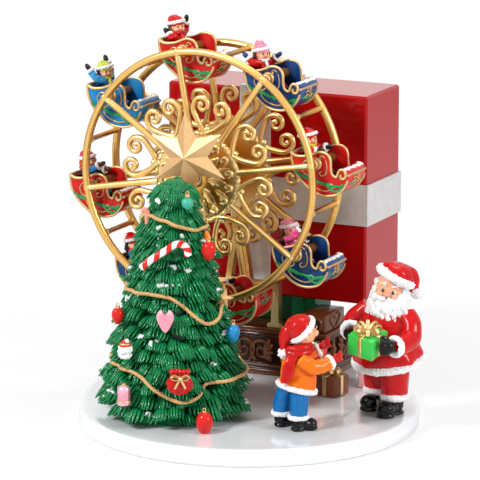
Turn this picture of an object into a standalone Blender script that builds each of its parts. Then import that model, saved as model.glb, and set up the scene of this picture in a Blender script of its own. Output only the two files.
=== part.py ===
"""Ferris wheel music box: a snow base, a tree, two figures, presents and a gift box round the movement.

Sizes are in millimetres while the pieces are shaped, and each finished node is scaled to metres.
X is to the right, Y is to the back and Z is up. The wheel and the gears turn about axes along Y.
"""

import math

import bmesh
import bpy
import numpy as np
from mathutils import Matrix, Vector
from mathutils.bvhtree import BVHTree

MM = 0.001

# Clearances
GLUE_GAP = 0.25  # between pieces that are glued or screwed face to face
RUN_GAP = 0.35  # between a turning piece and its neighbour, on the radius
PRESS_GAP = 0.12  # between the axle and what is fixed on it, on the radius

# Base
BASE_R = 120.0
BASE_BACK_R = 198.0  # the hidden back of the base runs out this far under the gift box
BASE_AXIS_DEG = 115.7  # direction of that longer half
BASE_TOP = 12.0
PAD_DEPTH = 1.5
FLOOR = BASE_TOP + GLUE_GAP

# Wheel
HUB = Vector((-48.0, 0.0, 168.0))
RIM_R = 89.0
RIM_TUBE = 2.7
FRONT_Y = 16.0
REAR_Y = 62.0
RING_R = 31.6
RING_TUBE = 2.0
SPOKES = 8
SPOKE_TUBE = 2.55
SPOKE_PHASE_DEG = 100.0
HEART_TUBE = 1.6
PIVOT_R = RIM_R  # the gondolas hang on rods through the rim
ROD_R = 1.9
TIE_TUBE = 1.9
AXLE_R = 3.0

# Sleighs
SLEIGH_HALF = 14.5  # half the width, along Y
SLEIGH_WALL = 2.0
HINGE_R = 3.5
TIPPED_SLEIGH, TIPPED_DEG = 4, 24.0  # the lowest one hangs nose up

# Gift box, plinth and stand
BOX_X = (-115.0, 43.5)
BOX_Y = (103.0, 163.0)
BOX_Z = (66.0, 218.0)
BOX_WALL = 3.0
BAND = 1.6
BAND_X = (-56.0, -32.0)
BAND_Z = (124.0, 154.0)
BUSH_R = 5.7
PLINTH_TOP = 47.0
PLINTH_FRONT = 80.0
STAND_Y = (81.5, 87.5)

# Movement
MODULE = 2.0
GEAR_Y = (113.0, 117.0)
PLATE_Y = (108.0, 111.0)
WHEEL_TEETH, CYLINDER_TEETH, BARREL_TEETH, FAN_TEETH = 16, 8, 20, 6
SHAFT_R = 2.0
KEY_R = 2.4
DRUM_R = 8.2
PIN_R = 8.8

# Tree
TREE = Vector((-39.0, -38.0, 0.0))
TREE_TOP = 182.0
TREE_LOBES = 11
ROPE_R = 1.25
TREE_BACK = 0.84  # the tree is flatter on the side of the wheel
PEG_Z = 164.0

# Figures: where each stands and the direction it looks in, in degrees from +X
SANTA = Vector((93.0, 28.0, FLOOR))
SANTA_LOOKS_DEG = -105.0
HEAD_TURN_DEG = 26.0  # his head is turned to the left of his body
GIFT_TURN_DEG = -9.3
GIFT_LEANS_TO_DEG, GIFT_LEAN_DEG = -64.3, 16.0
CHILD = Vector((55.2, -40.8, FLOOR))
CHILD_LOOKS_DEG = 42.0

# Colour, roughness and metallic value
FINISHES = {
    "snow": ((0.93, 0.94, 0.95), 0.25, 0.0),
    "felt": ((0.05, 0.20, 0.10), 0.9, 0.0),
    "carved_wood": ((0.045, 0.015, 0.008), 0.4, 0.0),
    "gold": ((0.75, 0.45, 0.12), 0.3, 0.9),
    "red": ((0.62, 0.01, 0.02), 0.2, 0.0),
    "silver": ((0.60, 0.60, 0.62), 0.3, 0.6),
    "dark_green": ((0.01, 0.10, 0.06), 0.3, 0.0),
    "brass": ((0.65, 0.45, 0.15), 0.3, 1.0),
    "steel": ((0.55, 0.55, 0.56), 0.3, 1.0),
    "black": ((0.02, 0.02, 0.02), 0.4, 0.0),
    "navy": ((0.01, 0.03, 0.15), 0.2, 0.0),
    "blue": ((0.01, 0.20, 0.55), 0.2, 0.0),
    "green": ((0.01, 0.30, 0.04), 0.25, 0.0),
    "tree_green": ((0.003, 0.08, 0.03), 0.25, 0.0),
    "rope": ((0.50, 0.28, 0.09), 0.5, 0.0),
    "teal": ((0.0, 0.35, 0.38), 0.2, 0.0),
    "pink": ((0.85, 0.20, 0.30), 0.25, 0.0),
    "white": ((0.85, 0.85, 0.85), 0.4, 0.0),
    "brown": ((0.14, 0.03, 0.02), 0.3, 0.0),
    "orange": ((0.90, 0.22, 0.01), 0.3, 0.0),
}


def finish(name):
    if name in bpy.data.materials:
        return bpy.data.materials[name]
    colour, roughness, metallic = FINISHES[name]
    material = bpy.data.materials.new(name)
    material.use_nodes = True
    shader = material.node_tree.nodes["Principled BSDF"]
    shader.inputs["Base Color"].default_value = (*colour, 1)
    shader.inputs["Roughness"].default_value = roughness
    shader.inputs["Metallic"].default_value = metallic
    return material


def axis_empty(name, at, parent=None):
    """An empty on a joint's axis. at is in millimetres, in the part's frame."""
    empty = bpy.data.objects.new(name, None)
    bpy.context.scene.collection.objects.link(empty)
    empty.parent = parent
    empty["at"] = [at.x, at.y, at.z]
    start = Vector(parent["at"]) if parent else Vector()
    empty.location = (Vector(at) - start) * MM
    return empty


def node(name, obj, colour, carrier=None):
    """The finished sub-part: named, coloured, in metres, with its origin on its carrier."""
    obj.name = name
    obj.data.name = name
    obj.data.materials.clear()
    obj.data.materials.append(finish(colour))
    origin = Vector(carrier["at"]) if carrier else Vector()
    obj.data.transform(Matrix.Scale(MM, 4) @ Matrix.Translation(-origin))
    obj.parent = carrier
    obj.data.shade_smooth()
    obj.data.set_sharp_from_angle(angle=math.radians(38))
    return obj


def from_bmesh(shape):
    """A mesh object, welded and facing out."""
    bmesh.ops.remove_doubles(shape, verts=shape.verts, dist=1e-4)
    bmesh.ops.recalc_face_normals(shape, faces=shape.faces)
    mesh = bpy.data.meshes.new("shape")
    shape.to_mesh(mesh)
    shape.free()
    obj = bpy.data.objects.new("shape", mesh)
    bpy.context.scene.collection.objects.link(obj)
    return obj


def loft(rings):
    """A closed solid through rings with the same number of points. A ring of one point closes to a tip."""
    shape = bmesh.new()
    loops = [[shape.verts.new(p) for p in ring] for ring in rings]
    for low, high in zip(loops, loops[1:]):
        n = max(len(low), len(high))
        for i in range(n):
            j = (i + 1) % n
            corners = [low[i % len(low)], low[j % len(low)], high[j % len(high)], high[i % len(high)]]
            shape.faces.new(list(dict.fromkeys(corners)))
    for loop in (loops[0], loops[-1]):
        if len(loop) > 2:
            shape.faces.new(loop)
    return from_bmesh(shape)


def circle(centre, radius, count, axis="Z", squash=1.0, phase=0.0):
    """Points of a circle, or of an oval, whose normal is the axis."""
    across, up = {
        "X": (Vector((0, 1, 0)), Vector((0, 0, 1))),
        "Y": (Vector((1, 0, 0)), Vector((0, 0, 1))),
        "Z": (Vector((1, 0, 0)), Vector((0, 1, 0))),
    }[axis]
    found = []
    for i in range(count):
        t = math.tau * i / count + phase
        found.append(Vector(centre) + across * radius * math.cos(t) + up * radius * squash * math.sin(t))
    return found


AXIS_TURN = {
    "X": Matrix.Rotation(math.pi / 2, 4, "Y"),
    "Y": Matrix.Rotation(-math.pi / 2, 4, "X"),
    "Z": Matrix.Identity(4),
}


def turned(centre, axis, profile, count=16, squash=1.0):
    """A turned solid: profile is (distance along the axis, radius) pairs, and open ends are closed flat."""
    shape = bmesh.new()
    outline = [(profile[0][0], 0), *profile, (profile[-1][0], 0)]
    points = [shape.verts.new((radius, 0, distance)) for distance, radius in outline]
    edges = [shape.edges.new(pair) for pair in zip(points, points[1:])]
    bmesh.ops.spin(
        shape, geom=points + edges, axis=(0, 0, 1), angle=math.tau, steps=count, use_merge=True
    )
    bmesh.ops.scale(shape, vec=(1, squash, 1), verts=shape.verts)
    bmesh.ops.transform(shape, matrix=Matrix.Translation(Vector(centre)) @ AXIS_TURN[axis], verts=shape.verts)
    return from_bmesh(shape)


def bore(centre, low, high, radius, count=18):
    """A cutter along Y."""
    return turned(Vector((centre[0], 0, centre[2])), "Y", [(low, radius), (high, radius)], count)


def ball(centre, radii, count=10, rows=6):
    shape = bmesh.new()
    bmesh.ops.create_uvsphere(shape, u_segments=count, v_segments=rows, radius=1)
    bmesh.ops.scale(shape, vec=radii, verts=shape.verts)
    bmesh.ops.translate(shape, vec=Vector(centre), verts=shape.verts)
    return from_bmesh(shape)


def block(low, high, bevel=0.0):
    shape = bmesh.new()
    bmesh.ops.create_cube(shape, size=1)
    low, high = Vector(low), Vector(high)
    bmesh.ops.scale(shape, vec=high - low, verts=shape.verts)
    bmesh.ops.translate(shape, vec=(low + high) / 2, verts=shape.verts)
    if bevel:
        bmesh.ops.bevel(shape, geom=shape.edges[:], offset=bevel, segments=1, profile=0.5, affect="EDGES")
    return from_bmesh(shape)


def extruded(points, away):
    """A flat outline, extruded by a vector."""
    shape = bmesh.new()
    face = shape.faces.new([shape.verts.new(p) for p in points])
    grown = bmesh.ops.extrude_face_region(shape, geom=[face], use_keep_orig=True)
    moved = [v for v in grown["geom"] if isinstance(v, bmesh.types.BMVert)]
    bmesh.ops.translate(shape, vec=Vector(away), verts=moved)
    return from_bmesh(shape)


def slab(outline, y_low, y_high):
    """An outline of (x, z) pairs, extruded along Y."""
    return extruded([(x, y_low, z) for x, z in outline], (0, y_high - y_low, 0))


def smooth_path(points, steps=3, closed=False):
    """A Catmull-Rom curve through the points."""
    points = [Vector(p) for p in points]
    n = len(points)
    found = []
    for i in range(n if closed else n - 1):
        if closed:
            a, b, c, d = (points[(i + k) % n] for k in (-1, 0, 1, 2))
        else:
            a, b, c, d = (points[min(max(i + k, 0), n - 1)] for k in (-1, 0, 1, 2))
        for step in range(steps):
            t = step / steps
            bend = (2 * a - 5 * b + 4 * c - d) * t**2 + (3 * b - a - 3 * c + d) * t**3
            found.append(0.5 * (2 * b + (c - a) * t + bend))
    return found if closed else found + [points[-1]]


def tube(path, radii, sides=6, closed=False):
    """A round tube: a curve with a bevel and filled caps. radii is one number, or several spread along it."""
    if isinstance(radii, (int, float)):
        radii = [radii]
    places = np.linspace(0, 1, len(path))
    radii = np.interp(places, np.linspace(0, 1, len(radii)), radii)
    curve = bpy.data.curves.new("tube", "CURVE")
    curve.dimensions = "3D"
    curve.bevel_depth = 1
    curve.bevel_resolution = (sides - 4) // 2
    curve.use_fill_caps = True
    spline = curve.splines.new("POLY")
    spline.points.add(len(path) - 1)
    for place, point, radius in zip(spline.points, path, radii):
        place.co = (*point, 1)
        place.radius = radius
    spline.use_cyclic_u = closed
    holder = bpy.data.objects.new("tube", curve)
    bpy.context.scene.collection.objects.link(holder)
    shape = bmesh.new()
    shape.from_mesh(evaluated_mesh(holder))
    bpy.data.objects.remove(holder)
    return from_bmesh(shape)


def evaluated_mesh(obj):
    bpy.context.view_layer.update()
    return bpy.data.meshes.new_from_object(obj.evaluated_get(bpy.context.evaluated_depsgraph_get()))


def placed(obj, at=(0, 0, 0), turn_deg=0.0, axis="Z"):
    obj.data.transform(Matrix.Translation(Vector(at)) @ Matrix.Rotation(math.radians(turn_deg), 4, axis))
    return obj


def leaned(obj, at, toward_deg, by_deg):
    """Leans an upright piece over towards one side, then sets its own origin down at a point."""
    lean = Matrix.Rotation(math.radians(toward_deg), 4, "Z") @ Matrix.Rotation(math.radians(by_deg), 4, "Y")
    obj.data.transform(Matrix.Translation(Vector(at)) @ lean)
    return obj


def solve(first, others, operation):
    """first with the others joined or cut by an exact Boolean. The operands are removed."""
    group = bpy.data.collections.new("operands")
    bpy.context.scene.collection.children.link(group)
    for other in others:
        bpy.context.scene.collection.objects.unlink(other)
        group.objects.link(other)
    modifier = first.modifiers.new("solve", "BOOLEAN")
    modifier.operand_type = "COLLECTION"
    modifier.collection = group
    modifier.operation = operation
    modifier.solver = "EXACT"
    mesh = evaluated_mesh(first)
    for operand in [first, *others]:
        bpy.data.objects.remove(operand)
    bpy.data.collections.remove(group)
    obj = bpy.data.objects.new("solid", mesh)
    bpy.context.scene.collection.objects.link(obj)
    return obj


def fuse(*pieces):
    return solve(pieces[0], pieces[1:], "UNION")


def cut(obj, *cutters):
    return solve(obj, cutters, "DIFFERENCE")


def polar(radius, degrees, y):
    """A point in the wheel's plane, at an angle from +X towards +Z."""
    t = math.radians(degrees)
    return HUB + Vector((radius * math.cos(t), y, radius * math.sin(t)))


def egg_ring(scale, z, count=40):
    """The base's outline: a circle at the front that runs on to an oval at the back."""
    found = []
    for i in range(count):
        t = math.tau * i / count
        away = t - math.radians(BASE_AXIS_DEG)
        reach = BASE_BACK_R if math.cos(away) > 0 else BASE_R
        radius = scale / math.hypot(math.cos(away) / reach, math.sin(away) / BASE_R)
        found.append((radius * math.cos(t), radius * math.sin(t), z))
    return found


def make_base():
    base = loft([
        [(0, 0, PAD_DEPTH + GLUE_GAP)],
        egg_ring(0.9, PAD_DEPTH + GLUE_GAP),
        egg_ring(0.9, 0),
        egg_ring(0.985, 0),
        egg_ring(1.0, 1.4),
        egg_ring(1.0, BASE_TOP - 3.4),
        egg_ring(0.991, BASE_TOP - 1.1),
        egg_ring(0.968, BASE_TOP),
        [(0, 0, BASE_TOP)],
    ])
    node("base", base, "snow")
    pad = loft([egg_ring(0.895, 0), egg_ring(0.895, PAD_DEPTH)])
    node("base_pad", pad, "felt")


def grown(outline, by):
    """An anticlockwise outline of (x, y) pairs, moved out by a distance on every side."""
    found = []
    n = len(outline)
    for i in range(n):
        a, b, c = (Vector(outline[(i + k) % n]) for k in (-1, 0, 1))
        u, v = (b - a).normalized(), (c - b).normalized()
        out_u, out_v = Vector((u.y, -u.x)), Vector((v.y, -v.x))
        middle = (out_u + out_v).normalized()
        found.append(b + middle * by / middle.dot(out_u))
    return found


def make_plinth():
    """A carved chest: mouldings round its foot and its top, and scrolls in relief on its front."""
    back = PLINTH_FRONT + 58
    outline = (
        (-112, PLINTH_FRONT), (22, PLINTH_FRONT), (22, back), (-84, back), (-112, back - 26)
    )
    layers = (
        (FLOOR, 1.6), (FLOOR + 3.2, 1.6), (FLOOR + 5.0, 0.0), (FLOOR + 7.0, 0.6), (FLOOR + 8.0, -0.6),
        (PLINTH_TOP - 6.5, -0.6), (PLINTH_TOP - 5.5, 0.6), (PLINTH_TOP - 3.2, 1.6), (PLINTH_TOP, 1.6),
    )
    pieces = [loft([[(p[0], p[1], z) for p in grown(outline, out)] for z, out in layers])]
    scroll = ((-7, -8), (2, -6), (6, 0), (2, 6), (-4, 4), (-4, -1), (0, -1.5))
    middle = (FLOOR + PLINTH_TOP) / 2
    for k, x0 in enumerate((-94, -62, -30, 2)):
        side = 1 if k % 2 else -1
        path = [(x0 + side * x, PLINTH_FRONT + 0.3, middle + z) for x, z in scroll]
        pieces.append(tube(path, 1.5, 4))
    node("plinth", fuse(*pieces), "carved_wood")

    # A raised block stands at its right end, with a heart in relief on the side.
    low = PLINTH_TOP + GLUE_GAP
    heart = ((0, -5), (6, -1.2), (8, 2.2), (5.5, 4.4), (2, 3.6), (0, 1.0))
    path = [(22.1, PLINTH_FRONT + 17 + u, low + 6.8 + v) for u, v in heart]
    path += [(22.1, PLINTH_FRONT + 17 - u, low + 6.8 + v) for u, v in heart[4:0:-1]]
    raised = block((2.4, PLINTH_FRONT + 0.2, low), (22, PLINTH_FRONT + 35, low + 13), 0.8)
    node("plinth_block", fuse(raised, tube(path, 1.0, 4, True)), "carved_wood")


def make_stand():
    """A gilt trestle on the plinth: two feet, a cross bar and a waisted column up to the bearing."""
    y0, y1 = STAND_Y
    foot = PLINTH_TOP + GLUE_GAP
    bar = 75.5
    outer = (
        (36, foot), (36, foot + 2.5), (32.6, foot + 4), (32.6, bar + 5), (10, bar + 5), (7.5, 98),
        (5.0, 112), (4.2, HUB.z + 4),
    )
    inner = ((23.5, foot), (23.5, foot + 2.5), (26.6, foot + 4), (26.6, bar))
    outline = [(HUB.x + x, z) for x, z in outer]
    outline += [(HUB.x - x, z) for x, z in outer[::-1]]
    outline += [(HUB.x - x, z) for x, z in inner]
    outline += [(HUB.x + x, z) for x, z in inner[::-1]]
    boss = turned(HUB, "Y", [(y0 - 2, 8.5), (y1 + 2, 8.5)], 18)
    sill = bar + 6.5
    window = [(HUB.x - 5.5, sill), (HUB.x + 5.5, sill), (HUB.x + 2, 104), (HUB.x - 2, 104)]
    window = slab(window, y0 - 1, y1 + 1)
    hole = bore(HUB, y0 - 5, y1 + 5, AXLE_R + RUN_GAP)
    node("stand_frame", cut(fuse(slab(outline, y0, y1), boss), window, hole), "gold")


def make_gift_box():
    (x0, x1), (y0, y1), (z0, z1) = BOX_X, BOX_Y, BOX_Z
    outer = block((x0, y0, z0), (x1, y1, z1), 1.6)
    inside = block((x0 + BOX_WALL, y0 + BOX_WALL, z0 + BOX_WALL), (x1 - BOX_WALL, y1 + 5, z1 - BOX_WALL))
    hole = bore(HUB, y0 - 5, y0 + 10, BUSH_R + GLUE_GAP)
    node("gift_box", cut(outer, inside, hole), "red")

    edge = BOX_WALL + GLUE_GAP
    cover = block((x0 + edge, y1 - 4.2, z0 + edge), (x1 - edge, y1 - 0.8, z1 - edge))
    node("rear_cover", cut(cover, bore(BARREL, y1 - 8, y1 + 4, KEY_R + 1.2)), "red")

    # The band covers the front, both sides and the top, and leaves the cover at the back free.
    near, far, back = GLUE_GAP, GLUE_GAP + BAND, y1 - 0.5
    band = fuse(
        block((BAND_X[0], y0 - far, z0 + 0.5), (BAND_X[1], y0 - near, z1 + far)),
        block((BAND_X[0], y0 - far, z1 + near), (BAND_X[1], back, z1 + far)),
        block((x0 - far, y0 - far, BAND_Z[0]), (x1 + far, y0 - near, BAND_Z[1])),
        block((x0 - far, y0 - far, BAND_Z[0]), (x0 - near, back, BAND_Z[1])),
        block((x1 + near, y0 - far, BAND_Z[0]), (x1 + far, back, BAND_Z[1])),
    )
    node("ribbon_band", cut(band, bore(HUB, y0 - 5, y0 + 3, BUSH_R + GLUE_GAP)), "silver")

    face = y0 - far - GLUE_GAP
    bush = turned(HUB, "Y", [(face - 1.6, 8.0), (face, 8.0), (face, BUSH_R), (y0 + BOX_WALL, BUSH_R)], 20)
    node("axle_bush", cut(bush, bore(HUB, y0 - 9, y0 + 9, AXLE_R + RUN_GAP)), "brass")

    low, top = PLINTH_TOP + GLUE_GAP, z0 - GLUE_GAP
    support = fuse(
        block((-100, y0 + 4, low), (1.8, 136, top), 0.8),
        block((-16, y0 + 2.6, low), (-7, 137, top)),
        block((-88, y0 + 2.6, low), (-79, 137, top)),
    )
    node("support_box", support, "dark_green")


def gear(centre, teeth, phase_deg):
    """A gear with slim trapezoid teeth. One tooth's middle is at phase_deg."""
    pitch_r = MODULE * teeth / 2
    root, tip = pitch_r - 0.95 * MODULE, pitch_r + 0.65 * MODULE
    outline = []
    for i in range(teeth):
        middle = math.radians(phase_deg) + math.tau * i / teeth
        for radius, share in ((root, -0.30), (tip, -0.12), (tip, 0.12), (root, 0.30)):
            t = middle + share * math.tau / teeth
            outline.append((centre[0] + radius * math.cos(t), centre[2] + radius * math.sin(t)))
    return slab(outline, *GEAR_Y)


def meshed(teeth, direction_deg):
    """(centre, phase) of a gear in mesh with the axle's gear, in the given direction from the axle."""
    distance = MODULE * (WHEEL_TEETH + teeth) / 2 + PRESS_GAP
    t = math.radians(direction_deg)
    centre = HUB + Vector((distance * math.cos(t), 0, distance * math.sin(t)))
    # The axle's gear has a tooth at angle 0. This counts its pitches from there to the line of centres.
    pitches = direction_deg / (360 / WHEEL_TEETH)
    return centre, direction_deg + 180 + (pitches + 0.5) * 360 / teeth


CYLINDER, CYLINDER_PHASE = meshed(CYLINDER_TEETH, -90)
BARREL, BARREL_PHASE = meshed(BARREL_TEETH, 200)
FAN, FAN_PHASE = meshed(FAN_TEETH, 35)


def make_movement():
    g0, g1 = GEAR_Y
    y0, y1 = PLATE_Y
    plate = [block((-108, y0, 88), (6, y1, 204), 0.6)]
    for x, z in ((-100, 196), (-2, 196), (-2, 96), (-100, 96)):
        plate.append(turned((x, 0, z), "Y", [(BOX_Y[0] + BOX_WALL + GLUE_GAP, 4), (y0 + 0.5, 4)], 6))
    holes = [bore(HUB, y0 - 3, y1 + 3, AXLE_R + RUN_GAP)]
    holes += [bore(centre, y0 - 1, y1 + 1, SHAFT_R + RUN_GAP, 10) for centre in (CYLINDER, BARREL, FAN)]
    node("movement_plate", cut(fuse(*plate), *holes), "brass")

    # The comb's teeth reach in to just outside the circle of the pins.
    tip = CYLINDER.x + PIN_R + RUN_GAP
    comb = [
        block((-16, y1 + GLUE_GAP, CYLINDER.z - 4), (-6, 150, CYLINDER.z + 2)),
        block((-20, 120, CYLINDER.z - 0.9), (-12, 149, CYLINDER.z + 0.9)),
    ]
    for k in range(8):
        y = 121 + k * 3.4
        comb.append(block((tip, y, CYLINDER.z - 0.7), (-19, y + 2.2, CYLINDER.z + 0.7)))
    node("comb", fuse(*comb), "steel")

    drum_axis = axis_empty("pin_cylinder_axis", CYLINDER)
    stub = [(y0 + 0.2, SHAFT_R), (g0 + 1, SHAFT_R)]
    drum = [
        gear(CYLINDER, CYLINDER_TEETH, CYLINDER_PHASE),
        turned(CYLINDER, "Y", stub, 8),
        turned(CYLINDER, "Y", [(g1 - 1, 6), (g1 + 2, 6), (g1 + 2, DRUM_R), (150, DRUM_R)], 14),
    ]
    for k in range(9):
        t = math.radians(k * 130 + 40)
        out = Vector((math.cos(t), 0, math.sin(t)))
        foot = CYLINDER + Vector((0, g1 + 5.1 + k * 3.4, 0)) + out * (DRUM_R - 0.6)
        drum.append(tube([foot, foot + out * (PIN_R - DRUM_R + 0.6)], 0.45, 4))
    node("pin_cylinder", fuse(*drum), "brass", drum_axis)

    barrel_axis = axis_empty("spring_barrel_axis", BARREL)
    barrel = fuse(
        gear(BARREL, BARREL_TEETH, BARREL_PHASE),
        turned(BARREL, "Y", stub, 8),
        turned(BARREL, "Y", [(g1 - 1, 16), (136, 16)], 16),
    )
    socket = bore(BARREL, g1 + 2, 142, KEY_R + RUN_GAP, 12)
    node("spring_barrel", cut(barrel, socket), "brass", barrel_axis)

    fan = fuse(
        gear(FAN, FAN_TEETH, FAN_PHASE),
        turned(FAN, "Y", stub, 8),
        turned(FAN, "Y", [(g1 - 1, 2.2), (132, 2.2)], 8),
        block((FAN.x - 9, g1 + 4, FAN.z - 0.8), (FAN.x + 9, 131, FAN.z + 0.8)),
    )
    node("governor", fan, "brass", axis_empty("governor_axis", FAN))

    back = BOX_Y[1]
    half = ((0, 6), (6, 7), (12, 11), (12.5, 18), (6.5, 20), (2.5, 14), (0, 10))
    loop = [(BARREL.x + x, back + y, BARREL.z) for x, y in half]
    loop += [(BARREL.x - x, back + y, BARREL.z) for x, y in half[5:0:-1]]
    key = fuse(
        turned(BARREL, "Y", [(g1 + 4, KEY_R), (back + 8, KEY_R)], 12),
        turned(BARREL, "Y", [(back + 1, 5.2), (back + 4, 5.2)], 12),
        tube(loop, 1.7, 4, True),
    )
    node("winding_key", key, "brass", axis_empty("winding_key_axis", BARREL))


# One half of a heart scroll: distance from the heart's middle line, and from the wheel's centre
HEART_LOBE = (
    (0.0, 32.5), (9.6, 41.0), (13.8, 48.5), (12.0, 55.0), (7.3, 56.8), (3.4, 53.4), (4.6, 48.6), (8.8, 49.2),
)


def wheel_side(y):
    """The rim, inner ring, spokes and heart scrolls of one side of the wheel."""
    pieces = [
        tube([polar(RIM_R, 360 * i / 36, y) for i in range(36)], RIM_TUBE, 6, True),
        tube([polar(RING_R, 360 * i / 20, y) for i in range(20)], RING_TUBE, 4, True),
    ]
    for k in range(SPOKES):
        spoke = SPOKE_PHASE_DEG + 360 * k / SPOKES
        pieces.append(tube([polar(RING_R - 1, spoke, y), polar(RIM_R, spoke, y)], SPOKE_TUBE, 4))
        t = math.radians(spoke + 180 / SPOKES)
        out, across = Vector((math.cos(t), 0, math.sin(t))), Vector((-math.sin(t), 0, math.cos(t)))
        for side in (1, -1):
            path = [HUB + Vector((0, y, 0)) + out * v + across * u * side for u, v in HEART_LOBE]
            pieces.append(tube(path, (HEART_TUBE, HEART_TUBE, HEART_TUBE * 1.5), 4))
    return pieces


def make_wheel():
    axis = axis_empty("wheel_axis", HUB)
    axle = turned(HUB, "Y", [
        (FRONT_Y - 7.5, 0), (FRONT_Y - 7.0, 2.2), (FRONT_Y - 5.6, 3.8), (FRONT_Y - 4.4, 3.8),
        (FRONT_Y - 4.4, AXLE_R), (GEAR_Y[1] + 6, AXLE_R),
    ], 16)
    node("axle", axle, "steel", axis)
    wheel_gear = fuse(
        gear(HUB, WHEEL_TEETH, 0), turned(HUB, "Y", [(GEAR_Y[0] - 0.8, 7), (GEAR_Y[1] + 3, 7)], 14)
    )
    node("axle_gear", cut(wheel_gear, bore(HUB, 100, 130, AXLE_R + PRESS_GAP, 16)), "brass", axis)

    plate = turned(HUB, "Y", [
        (FRONT_Y - 4.1, 5.5), (FRONT_Y - 2.4, 12), (FRONT_Y - 0.6, 27), (FRONT_Y - 0.6, RING_R),
        (FRONT_Y + 1.0, RING_R), (FRONT_Y + 2.4, 10), (FRONT_Y + 8, 8.5),
    ], 24)
    hole = bore(HUB, 0, 40, AXLE_R + PRESS_GAP, 16)
    node("wheel_front", cut(fuse(*wheel_side(FRONT_Y), plate), hole), "gold", axis)

    pieces = wheel_side(REAR_Y)
    pieces.append(turned(HUB, "Y", [
        (REAR_Y - 8, 8), (REAR_Y - 1.2, 9), (REAR_Y - 1.2, RING_R), (REAR_Y + 1.2, RING_R), (REAR_Y + 4, 8),
    ], 24))
    for k in range(SPOKES):
        spoke = SPOKE_PHASE_DEG + 360 * k / SPOKES
        tie = spoke + 180 / SPOKES
        ends = polar(PIVOT_R, spoke, FRONT_Y + RIM_TUBE + GLUE_GAP), polar(PIVOT_R, spoke, REAR_Y)
        pieces.append(tube(ends, ROD_R, 6))
        ends = polar(RIM_R, tie, FRONT_Y + RIM_TUBE + GLUE_GAP), polar(RIM_R, tie, REAR_Y)
        pieces.append(tube(ends, TIE_TUBE, 4))
    hole = bore(HUB, 40, 90, AXLE_R + PRESS_GAP, 16)
    node("wheel_rear", cut(fuse(*pieces), hole), "gold", axis)
    return axis


# A sleigh's side and the room inside it, as (x, z) from the pivot: the nose is at +X
SLEIGH_SIDE = (
    (-18.6, 6.2), (-12.0, 4.7), (-5.0, 5.6), (0.5, 8.0), (5.5, 8.5), (10.2, 6.0), (11.4, -3.0),
    (13.4, -8.0), (15.8, -8.2), (17.2, -3.8), (20.0, -2.3), (24.2, -3.6), (24.4, -9.0), (20.0, -17.6),
    (12.0, -21.6), (2.0, -21.6), (-8.0, -15.6), (-16.4, -5.6),
)
SEAT_Z = -6.5
SLEIGH_ROOM = (
    (-16.4, 14.0), (-16.2, 5.0), (-14.2, SEAT_Z), (-4.4, SEAT_Z), (-4.4, -15.0), (2.6, -19.2),
    (11.4, -19.2), (17.8, -15.6), (18.4, -8.0), (17.8, 14.0),
)
SLEIGH_COLOURS = ("red", "navy", "red", "navy", "red", "navy", "red", "blue")
RIDER_COLOURS = ("red", "red", "red", "pink", "red", "red", "blue", "blue")
# For each rider: where the near and the far hand are, from the pivot, and where the hat's tip is
RIDERS = (
    ((-14.0, -8.5, 9.6), (-12.5, 9.5, 20.5), (-20.0, 23.0)),
    ((-17.5, -9.6, 12.0), (-5.0, 8.6, 11.0), (-11.8, 28.6)),
    ((-2.6, -8.0, 7.6), (-2.6, 8.0, 7.6), (-14.8, 25.0)),
    ((0.5, -9.0, 17.5), (-2.6, 8.0, 7.6), (-19.0, 21.5)),
    ((-2.6, -8.0, 7.6), (-2.6, 8.0, 7.6), (-14.0, 25.0)),
    ((-2.6, -8.0, 7.6), (-2.6, 8.0, 7.6), (-16.0, 24.0)),
    ((1.5, -8.8, 13.5), (-2.6, 8.0, 7.6), (-19.5, 22.0)),
    ((-20.0, -10.0, 16.0), (-15.5, 9.6, 20.0), (-18.0, 24.0)),
)


def make_sleighs(wheel_axis):
    """Sleigh 1 is the top one, and the rest follow clockwise as seen from the front."""
    for k in range(SPOKES):
        pivot = polar(PIVOT_R, SPOKE_PHASE_DEG - 360 * k / SPOKES, (FRONT_Y + REAR_Y) / 2)
        swing = axis_empty(f"sleigh_{k + 1}_pivot", pivot, wheel_axis)
        tip = -TIPPED_DEG if k == TIPPED_SLEIGH else 0
        sleigh = placed(sleigh_shape(), pivot, tip, "Y")
        node(f"sleigh_{k + 1}", sleigh, SLEIGH_COLOURS[k], swing)
        rider = placed(rider_shape(*RIDERS[k]), pivot, tip, "Y")
        node(f"rider_{k + 1}", rider, RIDER_COLOURS[k], swing)


def sleigh_shape():
    w = SLEIGH_HALF
    tub = cut(slab(SLEIGH_SIDE, -w, w), slab(SLEIGH_ROOM, -w + SLEIGH_WALL, w - SLEIGH_WALL))
    reach = (REAR_Y - FRONT_Y) / 2 - RIM_TUBE - RUN_GAP
    body = fuse(tub, turned((0, 0, 0), "Y", [(-reach, HINGE_R), (reach, HINGE_R)], 8))
    return cut(body, bore((0, 0, 0), -reach - 5, reach + 5, ROD_R + RUN_GAP, 8))


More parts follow.
